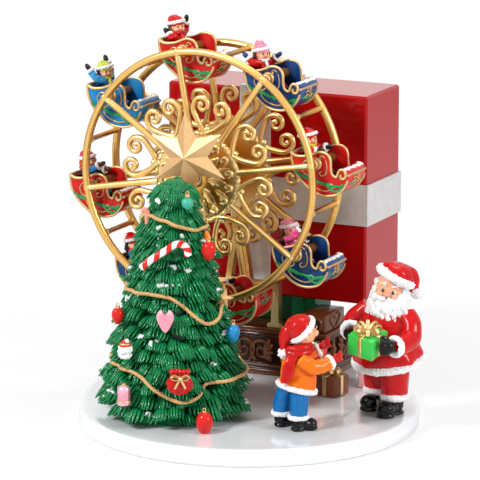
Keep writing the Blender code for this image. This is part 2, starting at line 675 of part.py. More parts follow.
def rider_shape(near_hand, far_hand, hat_tip):
    seat = SEAT_Z + 0.4
    tip_x, tip_z = hat_tip
    pieces = [
        loft([
            circle((-9.4, 0, seat), 3.3, 8, "Z", 2.1), circle((-10.4, 0, 6), 4.0, 8, "Z", 1.8),
            circle((-11.6, 0, 11.0), 2.6, 8, "Z", 1.5),
        ]),
        ball((-12.8, 0, 15.8), (6.0, 6.2, 6.2), 8, 4),
        loft([
            circle((-13.2, 0, 17.6), 6.8, 8), circle((-13.8, 0, 20.6), 5.8, 8),
            circle((-13.8 * 0.4 + tip_x * 0.6, 0, 20.6 * 0.4 + tip_z * 0.6), 2.8, 8), [(tip_x, 0, tip_z)],
        ]),
    ]
    for side, hand in ((-1, near_hand), (1, far_hand)):
        hand = Vector(hand)
        shoulder = Vector((-10.6, side * 5.4, 8.6))
        elbow = (shoulder + hand) / 2 + Vector((0, side * 2.0, -1.2))
        tip = hand + (hand - elbow).normalized() * 2.4
        pieces.append(tube([shoulder, elbow, hand, tip], (3.0, 2.7, 3.1, 1.8), 4))
    return fuse(*pieces)


TIERS = ((16, 61), (37, 57.5), (56, 52.5), (76, 46.5), (97, 41.0), (117, 36.0), (137, 29.6), (156, 21.5))


def tier_r(z):
    return float(np.interp(z, [tier[0] for tier in TIERS], [tier[1] for tier in TIERS]))


def tree_ring(z, radius, wave=0.0, turn=0.0, drop=0.0):
    """A ring round the trunk whose points go in and out by a share, and down and up by a drop."""
    found = []
    for i in range(2 * TREE_LOBES):
        t = math.pi * i / TREE_LOBES + turn
        way = 1 if i % 2 == 0 else -1
        r = radius * (1 + wave * way)
        y = r * math.sin(t)
        found.append(TREE + Vector((r * math.cos(t), y * (TREE_BACK if y > 0 else 1), z - drop * way)))
    return found


def make_tree():
    rings = [tree_ring(FLOOR, 40)]
    for k, (z, r) in enumerate(TIERS):
        turn = math.pi / TREE_LOBES * (k % 2)
        rings.append(tree_ring(z + 1.5, r * 0.80, 0.05, turn))
        rings.append(tree_ring(z + 1.0, r * 0.93, 0.07, turn, 2.2))
        rings.append(tree_ring(z + 9, r * 0.86, 0.05, turn, 1.0))
    rings.append([TREE + Vector((0, 0, TREE_TOP))])
    tree = cut(loft(rings), bore((TREE.x, 0, PEG_Z), TREE.y + 2, 20, 1.9, 10))
    bark = surface(tree)
    node("tree", tree, "tree_green")
    return bark


def make_star():
    """A faceted star with six long points, on a peg in the back of the tree."""
    centre = Vector((-40.0, -14.5, 188.5))
    rim = []
    for i in range(12):
        t = math.radians(95 + 30 * i)
        r = 15.0 if i % 2 else 31.5
        rim.append(centre + Vector((r * math.cos(t), 0, r * math.sin(t))))
    body = loft([[centre + Vector((0, -7.4, 0))], rim, [centre + Vector((0, 1.6, 0))]])
    arm = tube([(TREE.x, TREE.y + 6, PEG_Z), (TREE.x, -15.5, PEG_Z), (TREE.x - 0.5, -14.5, 176)], 1.6, 8)
    node("star", fuse(body, arm), "gold")


def surface(obj):
    """The object's faces as they stand, to measure against."""
    mesh = obj.data
    return BVHTree.FromPolygons([v.co for v in mesh.vertices], [f.vertices for f in mesh.polygons])


def outward_deg(degrees):
    return Vector((math.cos(math.radians(degrees)), math.sin(math.radians(degrees)), 0))


def bark_r(bark, degrees, z):
    """How far the branches reach from the trunk's line, in one direction and at one height."""
    out = outward_deg(degrees)
    hit = bark.ray_cast(TREE + out * BASE_R + Vector((0, 0, z)), -out)[0]
    return (hit - TREE).xy.length if hit else 0.0


def swag(name, bark, z, dips):
    """A rope garland that lies on the branches. Each dip is (angle, width, drop), and -90 is the front."""
    count = 28
    step = 360 / count

    def level(angle):
        found = z
        for middle, width, drop in dips:
            away = (angle - middle + 180) % 360 - 180
            found -= drop * math.exp(-((away / width) ** 2))
        return found

    path = []
    for i in range(count):
        angle = step * i - 180
        near = [
            bark_r(bark, angle + turn * step / 4, level(angle + turn * step / 4) + rise)
            for turn in range(-4, 5) for rise in (-ROPE_R * 1.5, 0, ROPE_R * 1.5)
        ]
        reach = (max(near) + ROPE_R + GLUE_GAP) / math.cos(math.radians(step / 2))
        path.append(TREE + outward_deg(angle) * reach + Vector((0, 0, level(angle))))
    node(name, tube(path, ROPE_R, 4, True), "rope")


def hung(obj, bark, degrees, z):
    """A trimming, shaped round the origin, moved in against the branches from outside."""
    out = outward_deg(degrees)
    start = TREE + out * (tier_r(z) + 20) + Vector((0, 0, z))
    faces = [f.vertices for f in obj.data.polygons]
    reach = 0.0
    while reach < BASE_R:
        points = [v.co + start - out * reach for v in obj.data.vertices]
        if BVHTree.FromPolygons(points, faces).overlap(bark):
            break
        reach += GLUE_GAP
    return placed(obj, start - out * (reach - 1.5 * GLUE_GAP))


def make_trimmings(bark):
    swag("garland_upper", bark, 154, [(-15, 55, 9)])
    swag("garland_middle", bark, 103, [(-26, 28, 21)])
    swag("garland_lower", bark, 50, [(-58, 24, 19), (0, 30, 7)])

    for name, degrees, z, r, colour in (
        ("bulb_teal", -40, 165, 4.2, "teal"),
        ("bulb_red_high", -19, 133, 5.0, "red"),
        ("bulb_red_left", -128, 86, 4.4, "red"),
        ("bulb_blue", -1, 74, 4.8, "blue"),
        ("bulb_red_low", -44, 20, 6.0, "red"),
    ):
        tip = r * 1.2
        bulb = fuse(ball((0, 0, 0), (r, r, tip), 8, 5), turned((0, 0, r), "Z", [(0, 1.3), (3, 1.3)], 6))
        node(name, hung(bulb, bark, degrees, z), colour)

    half = ((5.6, -1.5), (6.4, 3.0), (3.4, 5.8))
    heart = slab([(0, -7.5), *half, (0, 3.4), *[(-x, z) for x, z in half[::-1]]], -2.6, 2.6)
    node("heart_bauble", hung(placed(heart, turn_deg=18), bark, -72, 90), "pink")

    bell = turned((0, 0, 0), "Z", [(-8, 4.6), (-6, 5.0), (4, 4.6), (6, 2.4), (8, 1.0)], 10)
    node("bell_bauble", hung(bell, bark, -102, 36), "pink")

    cap = fuse(ball((0, 0, 0), (5.6, 4.4, 4.4), 8, 5), turned((0, 0, 0), "Z", [(2.5, 5.0), (7.0, 2.0)], 8))
    node("cap_bauble", hung(cap, bark, -106, 65), "red")

    bag = placed(fuse(ball((0, 0, 0), (8.0, 4.2, 7.0), 10, 6), block((-5, -3, 5), (5, 3, 9.5))), turn_deg=30)
    node("bag_bauble", hung(bag, bark, -60, 46), "red")

    bend = ((-15, -5, 0), (-8, -5, 6), (1, -3, 12), (9, -1.5, 17), (15, 0, 15.5), (16.5, 1.5, 9))
    cane = placed(tube(smooth_path(bend, 2), 2.0, 6), turn_deg=12)
    node("candy_cane", hung(cane, bark, -78, 121), "white")


def boot(foot, length, height, width, splay):
    """A rounded boot from its heel at foot, pointing along +X."""
    radii = (width * 0.55, width * 0.55, height * 0.5)
    heel = ball(foot + Vector((width * 0.2, 0, height * 0.5)), radii, 6, 4)
    shape = ((0, 0.42), (0.45, 0.42), (0.8, 0.36), (1, 0.3))
    path = [foot + Vector((length * t, splay * t, height * h)) for t, h in shape]
    return [heel, tube(path, [height * r for r in (0.41, 0.42, 0.34, 0.16)], 6)]


def make_santa():
    """Santa bends a little towards the child, so the hem and the hat both slope."""
    pieces = []
    for side, reach in ((-1, -3), (1, 3.5)):
        foot = Vector((reach, side * 10, 0))
        pieces += boot(foot, 14, 13.5, 12.5, side * 2)
        pieces.append(turned(foot, "Z", [(7, 8), (13, 9), (38, 10.5)], 8))
    skirt = [circle((0, 0, z), r, 14, "Z", 1.05) for z, r in ((-5, 24), (0, 24.6), (4, 22.6), (12, 18.6))]
    pieces.append(leaned(loft(skirt), (-1, 0, 40.5), 0, 11))
    pieces.append(turned((-0.6, 0, 0), "Z", [
        (42, 18.2), (52, 18.4), (64, 18.0), (72, 15.8), (79, 11), (84, 5),
    ], 14, 1.1))
    pieces.append(ball((0, 1, 88), (11.5, 11.5, 11.5), 10, 6))
    beard = [
        circle((5, 0, z), r, 8, "Z", wide)
        for z, r, wide in ((61, 4, 1.4), (67, 8.4, 1.45), (77, 10.4, 1.5), (86, 9.6, 1.3), (91, 7, 1.2))
    ]
    pieces.append(placed(loft(beard), (0, 1, 0), HEAD_TURN_DEG))
    hat = loft([
        circle((0, 0, -3), 13.4, 10), circle((0, 0, 3), 13.2, 10), circle((0.5, 0, 7), 11.2, 10),
        circle((2.5, 0, 9.6), 7.0, 10), [(4, 0, 10.6)],
    ])
    tail = tube([(4, 0, 6), (10.4, 0, 5.4), (14.4, 0, 0)], (5.4, 4.6, 3.4), 6)
    pieces += [leaned(part, (-3.1, 3.6, 95.7), 130.7, 32) for part in (hat, tail)]
    pieces.append(ball((-12.4, 14.4, 84.2), (4.6, 4.6, 4.6), 7, 5))
    near = ((-2, 14.5, 72), (0, 21.5, 63), (5, 25.2, 56), (16, 25.8, 53.5), (25, 24.9, 54), (31.5, 24.2, 55))
    far = ((2, -14, 73), (7, -21, 66), (14, -21, 61), (22, -15.5, 60), (28, -10.6, 59), (33, -9.6, 58))
    for arm, radii in ((near, (7.2, 7.4, 7.0, 6.4, 5.4, 3.0)), (far, (7.2, 7.0, 6.4, 5.8, 5.0, 3.0))):
        pieces.append(tube(arm, radii, 6))
    node("santa", placed(fuse(*pieces), SANTA, SANTA_LOOKS_DEG), "red")


def bow(at, size):
    pieces = []
    for side in (-1, 1):
        loop = ((0, 0), (size, size * 0.75), (size * 1.5, size * 0.35), (size * 0.9, 0))
        path = [Vector(at) + Vector((side * x, 0, z)) for x, z in loop]
        pieces.append(tube(path, (0.9, 1.5, 1.6, 0.9), 4))
    return pieces


def present(name, at, size, turn_deg, strap, bow_size, colour):
    """A wrapped box with straps both ways and a bow. at is the middle of its underside."""
    node(name, placed(wrapped(size, strap, bow_size), at, turn_deg), colour)


def wrapped(size, strap, bow_size):
    a, b, h = size
    t = 0.6
    pieces = [
        block((-a / 2, -b / 2, 0), (a / 2, b / 2, h)),
        block((-strap / 2, -b / 2 - t, 0.3), (strap / 2, b / 2 + t, h + t)),
        block((-a / 2 - t, -strap / 2, 0.4), (a / 2 + t, strap / 2, h + t + 0.1)),
        *bow((0, 0, h), bow_size),
    ]
    return fuse(*pieces)


def make_presents():
    present("present_brown", (40.8, 50.9, FLOOR), (17.5, 17.5, 14.2), -11.6, 2.8, 4.4, "brown")
    present("present_pink", (56, 84, FLOOR), (16, 14, 30), 20, 3.0, 3.4, "pink")
    present("present_red", (19, 66, FLOOR), (15, 15, 28), -8, 3.2, 3.8, "red")
    # Santa holds this one between his mittens, tipped towards the child.
    reach = Matrix.Rotation(math.radians(SANTA_LOOKS_DEG), 3, "Z") @ Vector((31.6, 8, 56))
    gift = placed(wrapped((20, 20, 15), 3.2, 4.8), (0, 0, -7.5), GIFT_TURN_DEG - GIFT_LEANS_TO_DEG)
    node("santa_gift", leaned(gift, SANTA + reach, GIFT_LEANS_TO_DEG, GIFT_LEAN_DEG), "green")


def make_child():
    """The child leans back and looks up, with both arms out."""
    pieces = []
    for foot_x, foot_y, hip_x, hip_y in ((-1, -7.5, 0.5, -5.6), (-8.5, 7, -3, 5.4)):
        pieces += boot(Vector((foot_x, foot_y, 0)), 12, 9.5, 8.5, 0.5)
        pieces.append(tube([(foot_x + 0.5, foot_y, 4), (hip_x, hip_y, 31)], (6.0, 7.0), 6))
    skirt = [circle((0, 0, z), r, 12, "Z", 1.06) for z, r in ((-3, 13.2), (1, 13.7), (7, 11.8), (12, 10))]
    pieces.append(leaned(loft(skirt), (1, 0, 31), 0, 14))
    pieces.append(turned((0.5, 0, 0), "Z", [(34, 11.2), (44, 10.8), (52, 9.6), (57, 6.0)], 12, 1.06))
    pieces.append(turned((1.5, 0, 0), "Z", [(51.5, 9.4), (54.5, 10.4), (59, 7.5)], 10))
    pieces.append(ball((5.6, 0, 66.2), (9.8, 9.8, 10.0), 10, 6))
    hat = loft([
        circle((0, 0, -3), 10.9, 10), circle((0, 0, 3), 10.9, 10), circle((0.5, 0, 7.4), 9.0, 10),
        circle((1.5, 0, 10.4), 5.6, 10), [(2.4, 0, 11.6)],
    ])
    tail = tube([(4.5, 0, 6.5), (10.8, 0, 5.6), (16, 0, 1.8)], (5.2, 4.2, 3.0), 6)
    pom = ball((19.4, 0, -1.6), (4.4, 4.4, 4.4), 7, 5)
    pieces += [leaned(part, (3.8, 0, 68.7), 180, 45) for part in (hat, tail, pom)]
    near = ((0, -8.5, 51), (8, -11.5, 44.6), (16, -10.6, 45), (23.5, -8.6, 47.2), (29.5, -7.6, 50))
    far = ((0, 8.5, 51), (8, 12, 46.4), (15, 11, 49), (20.5, 9.6, 52.6), (27, 8.6, 56))
    for arm in (near, far):
        pieces.append(tube(arm, (5.2, 5.0, 4.5, 4.1, 2.5), 6))
    node("child", placed(fuse(*pieces), CHILD, CHILD_LOOKS_DEG), "orange")


def centre_on_base():
    """Moves everything so that the origin is at the middle of the whole object's underside."""
    bpy.context.view_layer.update()
    corners = [
        obj.matrix_world @ Vector(corner)
        for obj in bpy.data.objects if obj.type == "MESH" for corner in obj.bound_box
    ]
    low = Vector([min(corner[i] for corner in corners) for i in range(3)])
    high = Vector([max(corner[i] for corner in corners) for i in range(3)])
    for obj in bpy.data.objects:
        if not obj.parent:
            obj.location -= Vector(((low.x + high.x) / 2, (low.y + high.y) / 2, low.z))


def main():
    for obj in list(bpy.data.objects):
        bpy.data.objects.remove(obj)
    make_base()
    make_plinth()
    make_stand()
    make_gift_box()
    make_movement()
    make_sleighs(make_wheel())
    bark = make_tree()
    make_star()
    make_trimmings(bark)
    make_santa()
    make_child()
    make_presents()
    centre_on_base()


main()
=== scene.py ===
"""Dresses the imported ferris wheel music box: its finishes, the stage, the light and the camera."""

import math
import random

import bmesh
import bpy
import numpy as np
from mathutils import Matrix, Vector, noise
from mathutils.bvhtree import BVHTree


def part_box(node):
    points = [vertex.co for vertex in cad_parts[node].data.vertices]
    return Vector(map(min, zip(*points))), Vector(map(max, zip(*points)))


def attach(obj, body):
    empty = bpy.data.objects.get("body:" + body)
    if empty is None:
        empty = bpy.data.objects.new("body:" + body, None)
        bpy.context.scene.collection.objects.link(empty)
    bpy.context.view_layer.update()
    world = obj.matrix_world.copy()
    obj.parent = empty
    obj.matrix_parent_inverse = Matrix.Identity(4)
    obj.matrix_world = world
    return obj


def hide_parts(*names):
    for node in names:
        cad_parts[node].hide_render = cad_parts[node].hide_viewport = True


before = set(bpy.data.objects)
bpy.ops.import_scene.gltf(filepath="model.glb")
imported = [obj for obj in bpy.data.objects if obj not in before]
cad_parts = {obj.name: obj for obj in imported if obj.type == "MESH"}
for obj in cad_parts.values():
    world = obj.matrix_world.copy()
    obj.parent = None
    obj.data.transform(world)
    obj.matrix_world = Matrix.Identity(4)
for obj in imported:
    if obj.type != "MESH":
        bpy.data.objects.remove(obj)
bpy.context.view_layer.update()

MM = 0.001

# The part's own sizes, in millimetres
BASE_R = 120.0
BASE_BACK_R = 198.0
BASE_AXIS_DEG = 115.7
BASE_TOP = 12.0
GLUE_GAP = 0.25
FLOOR = BASE_TOP + GLUE_GAP
HUB = Vector((-48.0, 0.0, 168.0))
HUB_BORE = 3.3
RIM_R = 89.0
RIM_TUBE = 2.7
FRONT_Y = 16.0
REAR_Y = 62.0
MIDDLE_Y = (FRONT_Y + REAR_Y) / 2
RING_R = 31.6
ROD_R = 1.9
SPOKES = 8
SPOKE_PHASE_DEG = 100.0
SLEIGH_HALF = 14.5
BARREL_REACH = 19.95
TIPPED_SLEIGH = 4
TIPPED_DEG = 24
PLINTH_TOP = 47.0
PLINTH_FRONT = 80.0
CHEST_LEFT, CHEST_RIGHT = -112.0, 22.0
CHEST_BACK = PLINTH_FRONT + 58.0
CUT_X, CUT_Y = 28.0, 26.0  # the slanted corner at the chest's hidden back
TREE = Vector((-39.0, -38.0, 0.0))
TREE_TOP = 182.0
TREE_BACK = 0.84
SANTA = Vector((93.0, 28.0, FLOOR))
SANTA_LOOKS_DEG = -105.0
HEAD_TURN_DEG = 26.0
GIFT_TURN_DEG = -9.3
GIFT_LEANS_TO_DEG, GIFT_LEAN_DEG = -64.3, 16.0
CHILD = Vector((55.2, -40.8, FLOOR))
CHILD_LOOKS_DEG = 42.0

# The camera, solved from the photograph
CAMERA_AZIMUTH_DEG = 25.7
CAMERA_ELEVATION_DEG = 12.5
CAMERA_AWAY = 2434.6
CAMERA_LENS = 261.93
CAMERA_TARGET = (-7.1, 0.0, 129.7)

# In model.glb the part is moved, and the base's front and right edges show how far
low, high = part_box("base")
SHIFT = Vector((high.x / MM - BASE_R, low.y / MM + BASE_R, 0.0))


def at(point):
    """A point of the part in millimetres, as metres in the frame."""
    return (Vector(point) + SHIFT) * MM


# Shapes


def smooth_path(points, steps=6, closed=False):
    """A Catmull-Rom curve through the points."""
    points = [Vector(p) for p in points]
    n = len(points)
    found = []
    for i in range(n if closed else n - 1):
        if closed:
            a, b, c, d = (points[(i + k) % n] for k in (-1, 0, 1, 2))
        else:
            a, b, c, d = (points[min(max(i + k, 0), n - 1)] for k in (-1, 0, 1, 2))
        for step in range(steps):
            t = step / steps
            bend = (2 * a - 5 * b + 4 * c - d) * t**2 + (3 * b - a - 3 * c + d) * t**3
            found.append(0.5 * (2 * b + (c - a) * t + bend))
    return found if closed else found + [points[-1]]


def spread(values, count):
    """Values read off evenly along a list."""
    places = np.linspace(0, 1, count)
    return np.interp(places, np.linspace(0, 1, len(values)), values)


def around(steps):
    """The points of a unit circle."""
    return [(math.cos(math.tau * i / steps), math.sin(math.tau * i / steps)) for i in range(steps)]


RIM_STEPS = 144
ROUND = {steps: around(steps) for steps in (*range(4, 65), RIM_STEPS)}


class Shape:
    """Points and faces of a piece, in millimetres."""

    def __init__(self):
        self.points = []
        self.faces = []

    def add(self, points, faces):
        start = len(self.points)
        self.points += [Vector(p) for p in points]
        self.faces += [[start + i for i in face] for face in faces]
        return self

    def join(self, other, matrix=None):
        points = [matrix @ p for p in other.points] if matrix else other.points
        return self.add(points, other.faces)

    def rings(self, rings, closed=False):
        """A skin through rings with the same number of points. A ring of one point closes to a tip."""
        starts = np.cumsum([0] + [len(ring) for ring in rings])
        faces = []
        pairs = list(zip(range(len(rings)), range(1, len(rings))))
        if closed:
            pairs.append((len(rings) - 1, 0))
        for a, b in pairs:
            low, high = len(rings[a]), len(rings[b])
            n = max(low, high)
            for i in range(n):
                j = (i + 1) % n
                near = (starts[a] + i % low, starts[a] + j % low)
                far = (starts[b] + j % high, starts[b] + i % high)
                faces.append(list(dict.fromkeys(int(c) for c in near + far)))
        for end, ring in ((0, rings[0]), (len(rings) - 1, rings[-1])):
            if len(ring) > 2 and not closed:
                faces.append([int(starts[end]) + i for i in range(len(ring))])
        return self.add([p for ring in rings for p in ring], faces)

    def tube(self, path, radii, sides=8, across=None, section=None, closed=False):
        """A bar along a path. section is its outline, and across keeps one of its sides level."""
        path = [Vector(p) for p in path]
        radii = spread(np.atleast_1d(radii), len(path))
        section = section or ROUND[sides]
        n = len(path)
        side = None
        rings = []
        for i, point in enumerate(path):
            before = path[(i - 1) % n] if closed or i else path[i]
            after = path[(i + 1) % n] if closed or i < n - 1 else path[i]
            along = (after - before).normalized()
            hint = Vector(across) if across else side or along.orthogonal()
            side = (hint - along * hint.dot(along)).normalized()
            normal = along.cross(side)
            rings.append([point + (side * u + normal * v) * float(radii[i]) for u, v in section])
        return self.rings(rings, closed)

    def turned(self, centre, axis, profile, steps=24, closed=False):
        """A turned form. profile is (distance along the axis, radius) pairs."""
        axis = Vector(axis).normalized()
        u = axis.orthogonal().normalized()
        v = axis.cross(u)
        rings = []
        for along, radius in profile:
            middle = Vector(centre) + axis * along
            if radius <= 1e-6:
                rings.append([middle])
            else:
                rings.append([middle + (u * c + v * s) * radius for c, s in ROUND[steps]])
        return self.rings(rings, closed)

    def ball(self, centre, radii, steps=14, rows=9, turn=None):
        """A ball or an egg: radii is one number, or three along the axes."""
        radii = Vector(radii) if hasattr(radii, "__len__") else Vector((radii,) * 3)
        rings = []
        for k in range(rows + 1):
            tilt = math.pi * k / rows
            r, z = math.sin(tilt), -math.cos(tilt)
            if k in (0, rows):
                ring = [Vector((0, 0, z))]
            else:
                ring = [Vector((r * c, r * s, z)) for c, s in ROUND[steps]]
            scaled = [Vector((p.x * radii.x, p.y * radii.y, p.z * radii.z)) for p in ring]
            rings.append([Vector(centre) + (turn @ p if turn else p) for p in scaled])
        return self.rings(rings)

    def slab(self, outline, y_low, y_high):
        """An outline of (x, z) pairs, extruded along Y."""
        return self.rings([[Vector((x, y, z)) for x, z in outline] for y in (y_low, y_high)])

    def block(self, low, high):
        (x0, y0, z0), (x1, y1, z1) = low, high
        return self.slab([(x0, z0), (x1, z0), (x1, z1), (x0, z1)], y0, y1)

    def oval_rings(self, rows, steps=20):
        """A skin through level ovals: each row is (x, y, z, radius along x, radius along y)."""
        return self.rings([
            [Vector((x + a * c, y + b * s, z)) for c, s in ROUND[steps]] if a else [Vector((x, y, z))]
            for x, y, z, a, b in rows
        ])


def stand(centre, turn_deg=0.0, lean_deg=0.0):
    """A place for an upright piece: its origin, the side it leans towards and by how much."""
    turn = Matrix.Rotation(math.radians(turn_deg), 4, "Z") @ Matrix.Rotation(math.radians(lean_deg), 4, "Y")
    return Matrix.Translation(Vector(centre)) @ turn


def polar(radius, degrees, y):
    """A point in the wheel's plane, at an angle from +X towards +Z."""
    t = math.radians(degrees)
    return HUB + Vector((radius * math.cos(t), y, radius * math.sin(t)))


def mesh_of(name, shape, matrix=None):
    """The shape as a mesh in metres, in the frame, welded and facing out."""
    build = bmesh.new()
    matrix = matrix or Matrix.Identity(4)
    points = [build.verts.new(at(matrix @ p)) for p in shape.points]
    for face in shape.faces:
        if len(set(face)) > 2:
            build.faces.new([points[i] for i in face])
    bmesh.ops.remove_doubles(build, verts=build.verts, dist=1e-7)
    bmesh.ops.recalc_face_normals(build, faces=build.faces)
    mesh = bpy.data.meshes.new(name)
    build.to_mesh(mesh)
    build.free()
    return mesh


def applied(obj):
    """Bakes the object's modifiers into its mesh."""
    bpy.context.view_layer.update()
    mesh = bpy.data.meshes.new_from_object(obj.evaluated_get(bpy.context.evaluated_depsgraph_get()))
    obj.modifiers.clear()
    obj.data = mesh
    return obj


def merged(obj, voxel, smooth=0):
    """Grows overlapping solids into one skin, as a sculptor would blend them. voxel is in millimetres."""
    remesh = obj.modifiers.new("blend", "REMESH")
    remesh.mode = "VOXEL"
    remesh.voxel_size = voxel * MM
    if smooth:
        soften = obj.modifiers.new("soften", "SMOOTH")
        soften.factor = 0.5
        soften.iterations = smooth
    return applied(obj)


def rippled(obj, size, depth, seed=0.0):
    """Moves the points along their normals by a noise: size and depth in millimetres."""
    mesh = obj.data
    normals = [v.normal.copy() for v in mesh.vertices]
    offset = Vector((seed, seed * 0.7, seed * 1.3))
    for vertex, normal in zip(mesh.vertices, normals):
        vertex.co += normal * noise.noise(vertex.co / (size * MM) + offset) * depth * MM
    return obj


def edged(obj, width, segments, angle_deg):
    """Rounds the edges that are sharper than an angle. width is in millimetres."""
    edge = obj.modifiers.new("edge", "BEVEL")
    edge.width = width * MM
    edge.segments = segments
    edge.limit_method = "ANGLE"
    edge.angle_limit = math.radians(angle_deg)
    return edge


def linked(name, shape, matrix=None):
    """The shape as an object of the scene."""
    obj = bpy.data.objects.new(name, mesh_of(name, shape, matrix))
    bpy.context.scene.collection.objects.link(obj)
    return obj


def dressed(obj, material, body, nodes=(), sharp=40):
    """Gives an object its finish and its body, and hides the CAD nodes that it stands for."""
    obj.data.materials.clear()
    obj.data.materials.append(material)
    obj.data.shade_smooth()
    obj.data.set_sharp_from_angle(angle=math.radians(sharp))
    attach(obj, body)
    if nodes:
        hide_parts(*nodes)
    return obj


def piece(name, shape, material, body, nodes=(), matrix=None, sharp=40, bevel=0.0):
    """A finished piece of the scene, riding on its body and standing for its CAD nodes."""
    obj = linked(name, shape, matrix)
    if bevel:
        edged(obj, bevel, 2, 35)
        applied(obj)
    return dressed(obj, material, body, nodes, sharp)


def sculpted(name, shape, material, body, voxel, smooth=2, nodes=(), matrix=None, ripple=None):
    """A piece whose solids are blended into one skin, and then roughened."""
    obj = linked(name, shape, matrix)
    merged(obj, voxel, smooth)
    if ripple:
        rippled(obj, *ripple)
    return dressed(obj, material, body, nodes, 180)


def figure(label, body, place, slot, rows):
    """The blended skins of a figure: rows of part, shape, finish, voxel, smoothing and ripple. The coat
    stands for the figure's CAD node."""
    for part, shape, paint, voxel, smooth, ripple in rows:
        nodes, own_slot = ([label], slot) if part == "coat" else ((), None)
        name = f"{label}_{part}"
        sculpted(name, shape, FINISH[paint], body, voxel, smooth, nodes, place, ripple)


# Finishes


def linear(code):
    """An sRGB hex colour as a linear one."""
    found = []
    for i in (0, 2, 4):
        value = int(code[i:i + 2], 16) / 255
        found.append(value / 12.92 if value <= 0.04045 else ((value + 0.055) / 1.055) ** 2.4)
    return (*found, 1.0)


# The colour sockets of a Mix node, by their numbers
MIX_A, MIX_B, MIX_RESULT = 6, 7, 2


def add(material, kind, settings=None, links=None, stops=(), **properties):
    """Adds a shader node: settings fill its sockets, links feed them, stops are the colours of a ramp, and
    the rest are its properties."""
    tree = material.node_tree
    made = tree.nodes.new("ShaderNode" + kind)
    for name, value in properties.items():
        setattr(made, name, value)
    for socket, value in (settings or {}).items():
        made.inputs[socket].default_value = value
    for socket, source in (links or {}).items():
        tree.links.new(source, made.inputs[socket])
    while stops and len(made.color_ramp.elements) < len(stops):
        made.color_ramp.elements.new(0.5)
    for k, (place, colour) in enumerate(stops):
        made.color_ramp.elements[k].position = place
        made.color_ramp.elements[k].color = linear(colour)
    return made


def blank(name, **settings):
    """A material and its main shader, with the values that are the same all over it."""
    material = bpy.data.materials.new(name)
    material.use_nodes = True
    shader = material.node_tree.nodes["Principled BSDF"]
    for socket, value in settings.items():
        shader.inputs[socket.replace("_", " ")].default_value = value
    return material, shader


def grain(material, size, detail=3.0, roughness=0.55, stretch=(1, 1, 1)):
    """A noise whose lumps measure about size millimetres."""
    where = add(material, "TexCoord").outputs["Object"]
    stretched = add(material, "Mapping", {"Scale": stretch}, {"Vector": where}).outputs["Vector"]
    settings = {"Scale": 1 / (size * MM), "Detail": detail, "Roughness": roughness}
    return add(material, "TexNoise", settings, {"Vector": stretched}).outputs["Fac"]


def finish(material, shader, colour, height, depth, strength):
    """Feeds the main shader its colour, and its relief from a height. depth is in millimetres."""
    material.node_tree.links.new(colour, shader.inputs["Base Color"])
    bump = add(material, "Bump", {"Strength": strength, "Distance": depth * MM}, {"Height": height})
    material.node_tree.links.new(bump.outputs["Normal"], shader.inputs["Normal"])
    return material


def feed(material, shader, socket, value, low, high):
    """Feeds a socket of the main shader with a value, spread from low to high."""
    spread_out = add(material, "MapRange", {"To Min": low, "To Max": high}, {"Value": value})
    material.node_tree.links.new(spread_out.outputs["Result"], shader.inputs[socket])


def painted_resin(name, painted_shade, body, edge, gloss=0.24, coat=0.12):
    """Cast polyresin, painted by hand under clear lacquer: painted shade darkens the hollows, and a painted
    highlight lightens the high spots. The eye gets a wet shine over soft brush marks."""
    material, shader = blank(name, Roughness=gloss, Coat_Weight=coat, Coat_Roughness=0.06, IOR=1.28)
    folds = add(material, "NewGeometry").outputs["Pointiness"]
    # Painted shade in the hollows and a painted highlight on the edges, set by how pointy the surface is
    stops = ((0.45, painted_shade), (0.5, body), (0.575, edge))
    shade_and_highlight = add(material, "ValToRGB", links={"Fac": folds}, stops=stops)
    marks = add(material, "MapRange", {"To Min": 0.3, "To Max": 0.7}, {"Value": grain(material, 2.2)})
    paints = {MIX_A: linear(painted_shade), MIX_B: linear(edge)}
    brushed = add(material, "Mix", paints, {0: marks.outputs["Result"]}, data_type="RGBA")
    layers = {MIX_A: shade_and_highlight.outputs["Color"], MIX_B: brushed.outputs[MIX_RESULT]}
    both = add(material, "Mix", {0: 0.12}, layers, data_type="RGBA")
    return finish(material, shader, both.outputs[MIX_RESULT], grain(material, 0.9), 0.05, 0.5)


def gilt(name, shadow, body, shine, roughness=0.3, metallic=1.0):
    """Die-cast zinc alloy, electroplated gold: painted brown shade lies in the hollows and on the rims that
    turn away from the eye, and a painted highlight makes the edges paler. The eye gets a soft bright metal
    with warm depths."""
    material, shader = blank(name, Metallic=metallic)
    folds = add(material, "NewGeometry").outputs["Pointiness"]
    # Painted shade in the hollows and a painted highlight on the edges, set by how pointy the surface is
    stops = ((0.44, shadow), (0.5, body), (0.57, shine))
    gold_with_painted_light = add(material, "ValToRGB", links={"Fac": folds}, stops=stops).outputs["Color"]
    # Painted shade on the rims that turn away from the eye: the colour is mixed towards the shadow colour
    # there
    rim_shade_mask = add(material, "LayerWeight", {"Blend": 0.35}).outputs["Facing"]
    cloud = grain(material, 3.0, 4.0)
    for value, low, high in ((rim_shade_mask, -0.25, 0.95), (cloud, 0.0, 0.3)):
        share = add(material, "MapRange", {"To Min": low, "To Max": high}, {"Value": value})
        links = {0: share.outputs["Result"], MIX_A: gold_with_painted_light}
        gold_with_painted_light = add(material, "Mix", {MIX_B: linear(shadow)}, links, data_type="RGBA").outputs[MIX_RESULT]
    feed(material, shader, "Roughness", cloud, roughness - 0.06, roughness + 0.1)
    return finish(material, shader, gold_with_painted_light, grain(material, 1.2), 0.06, 0.5)


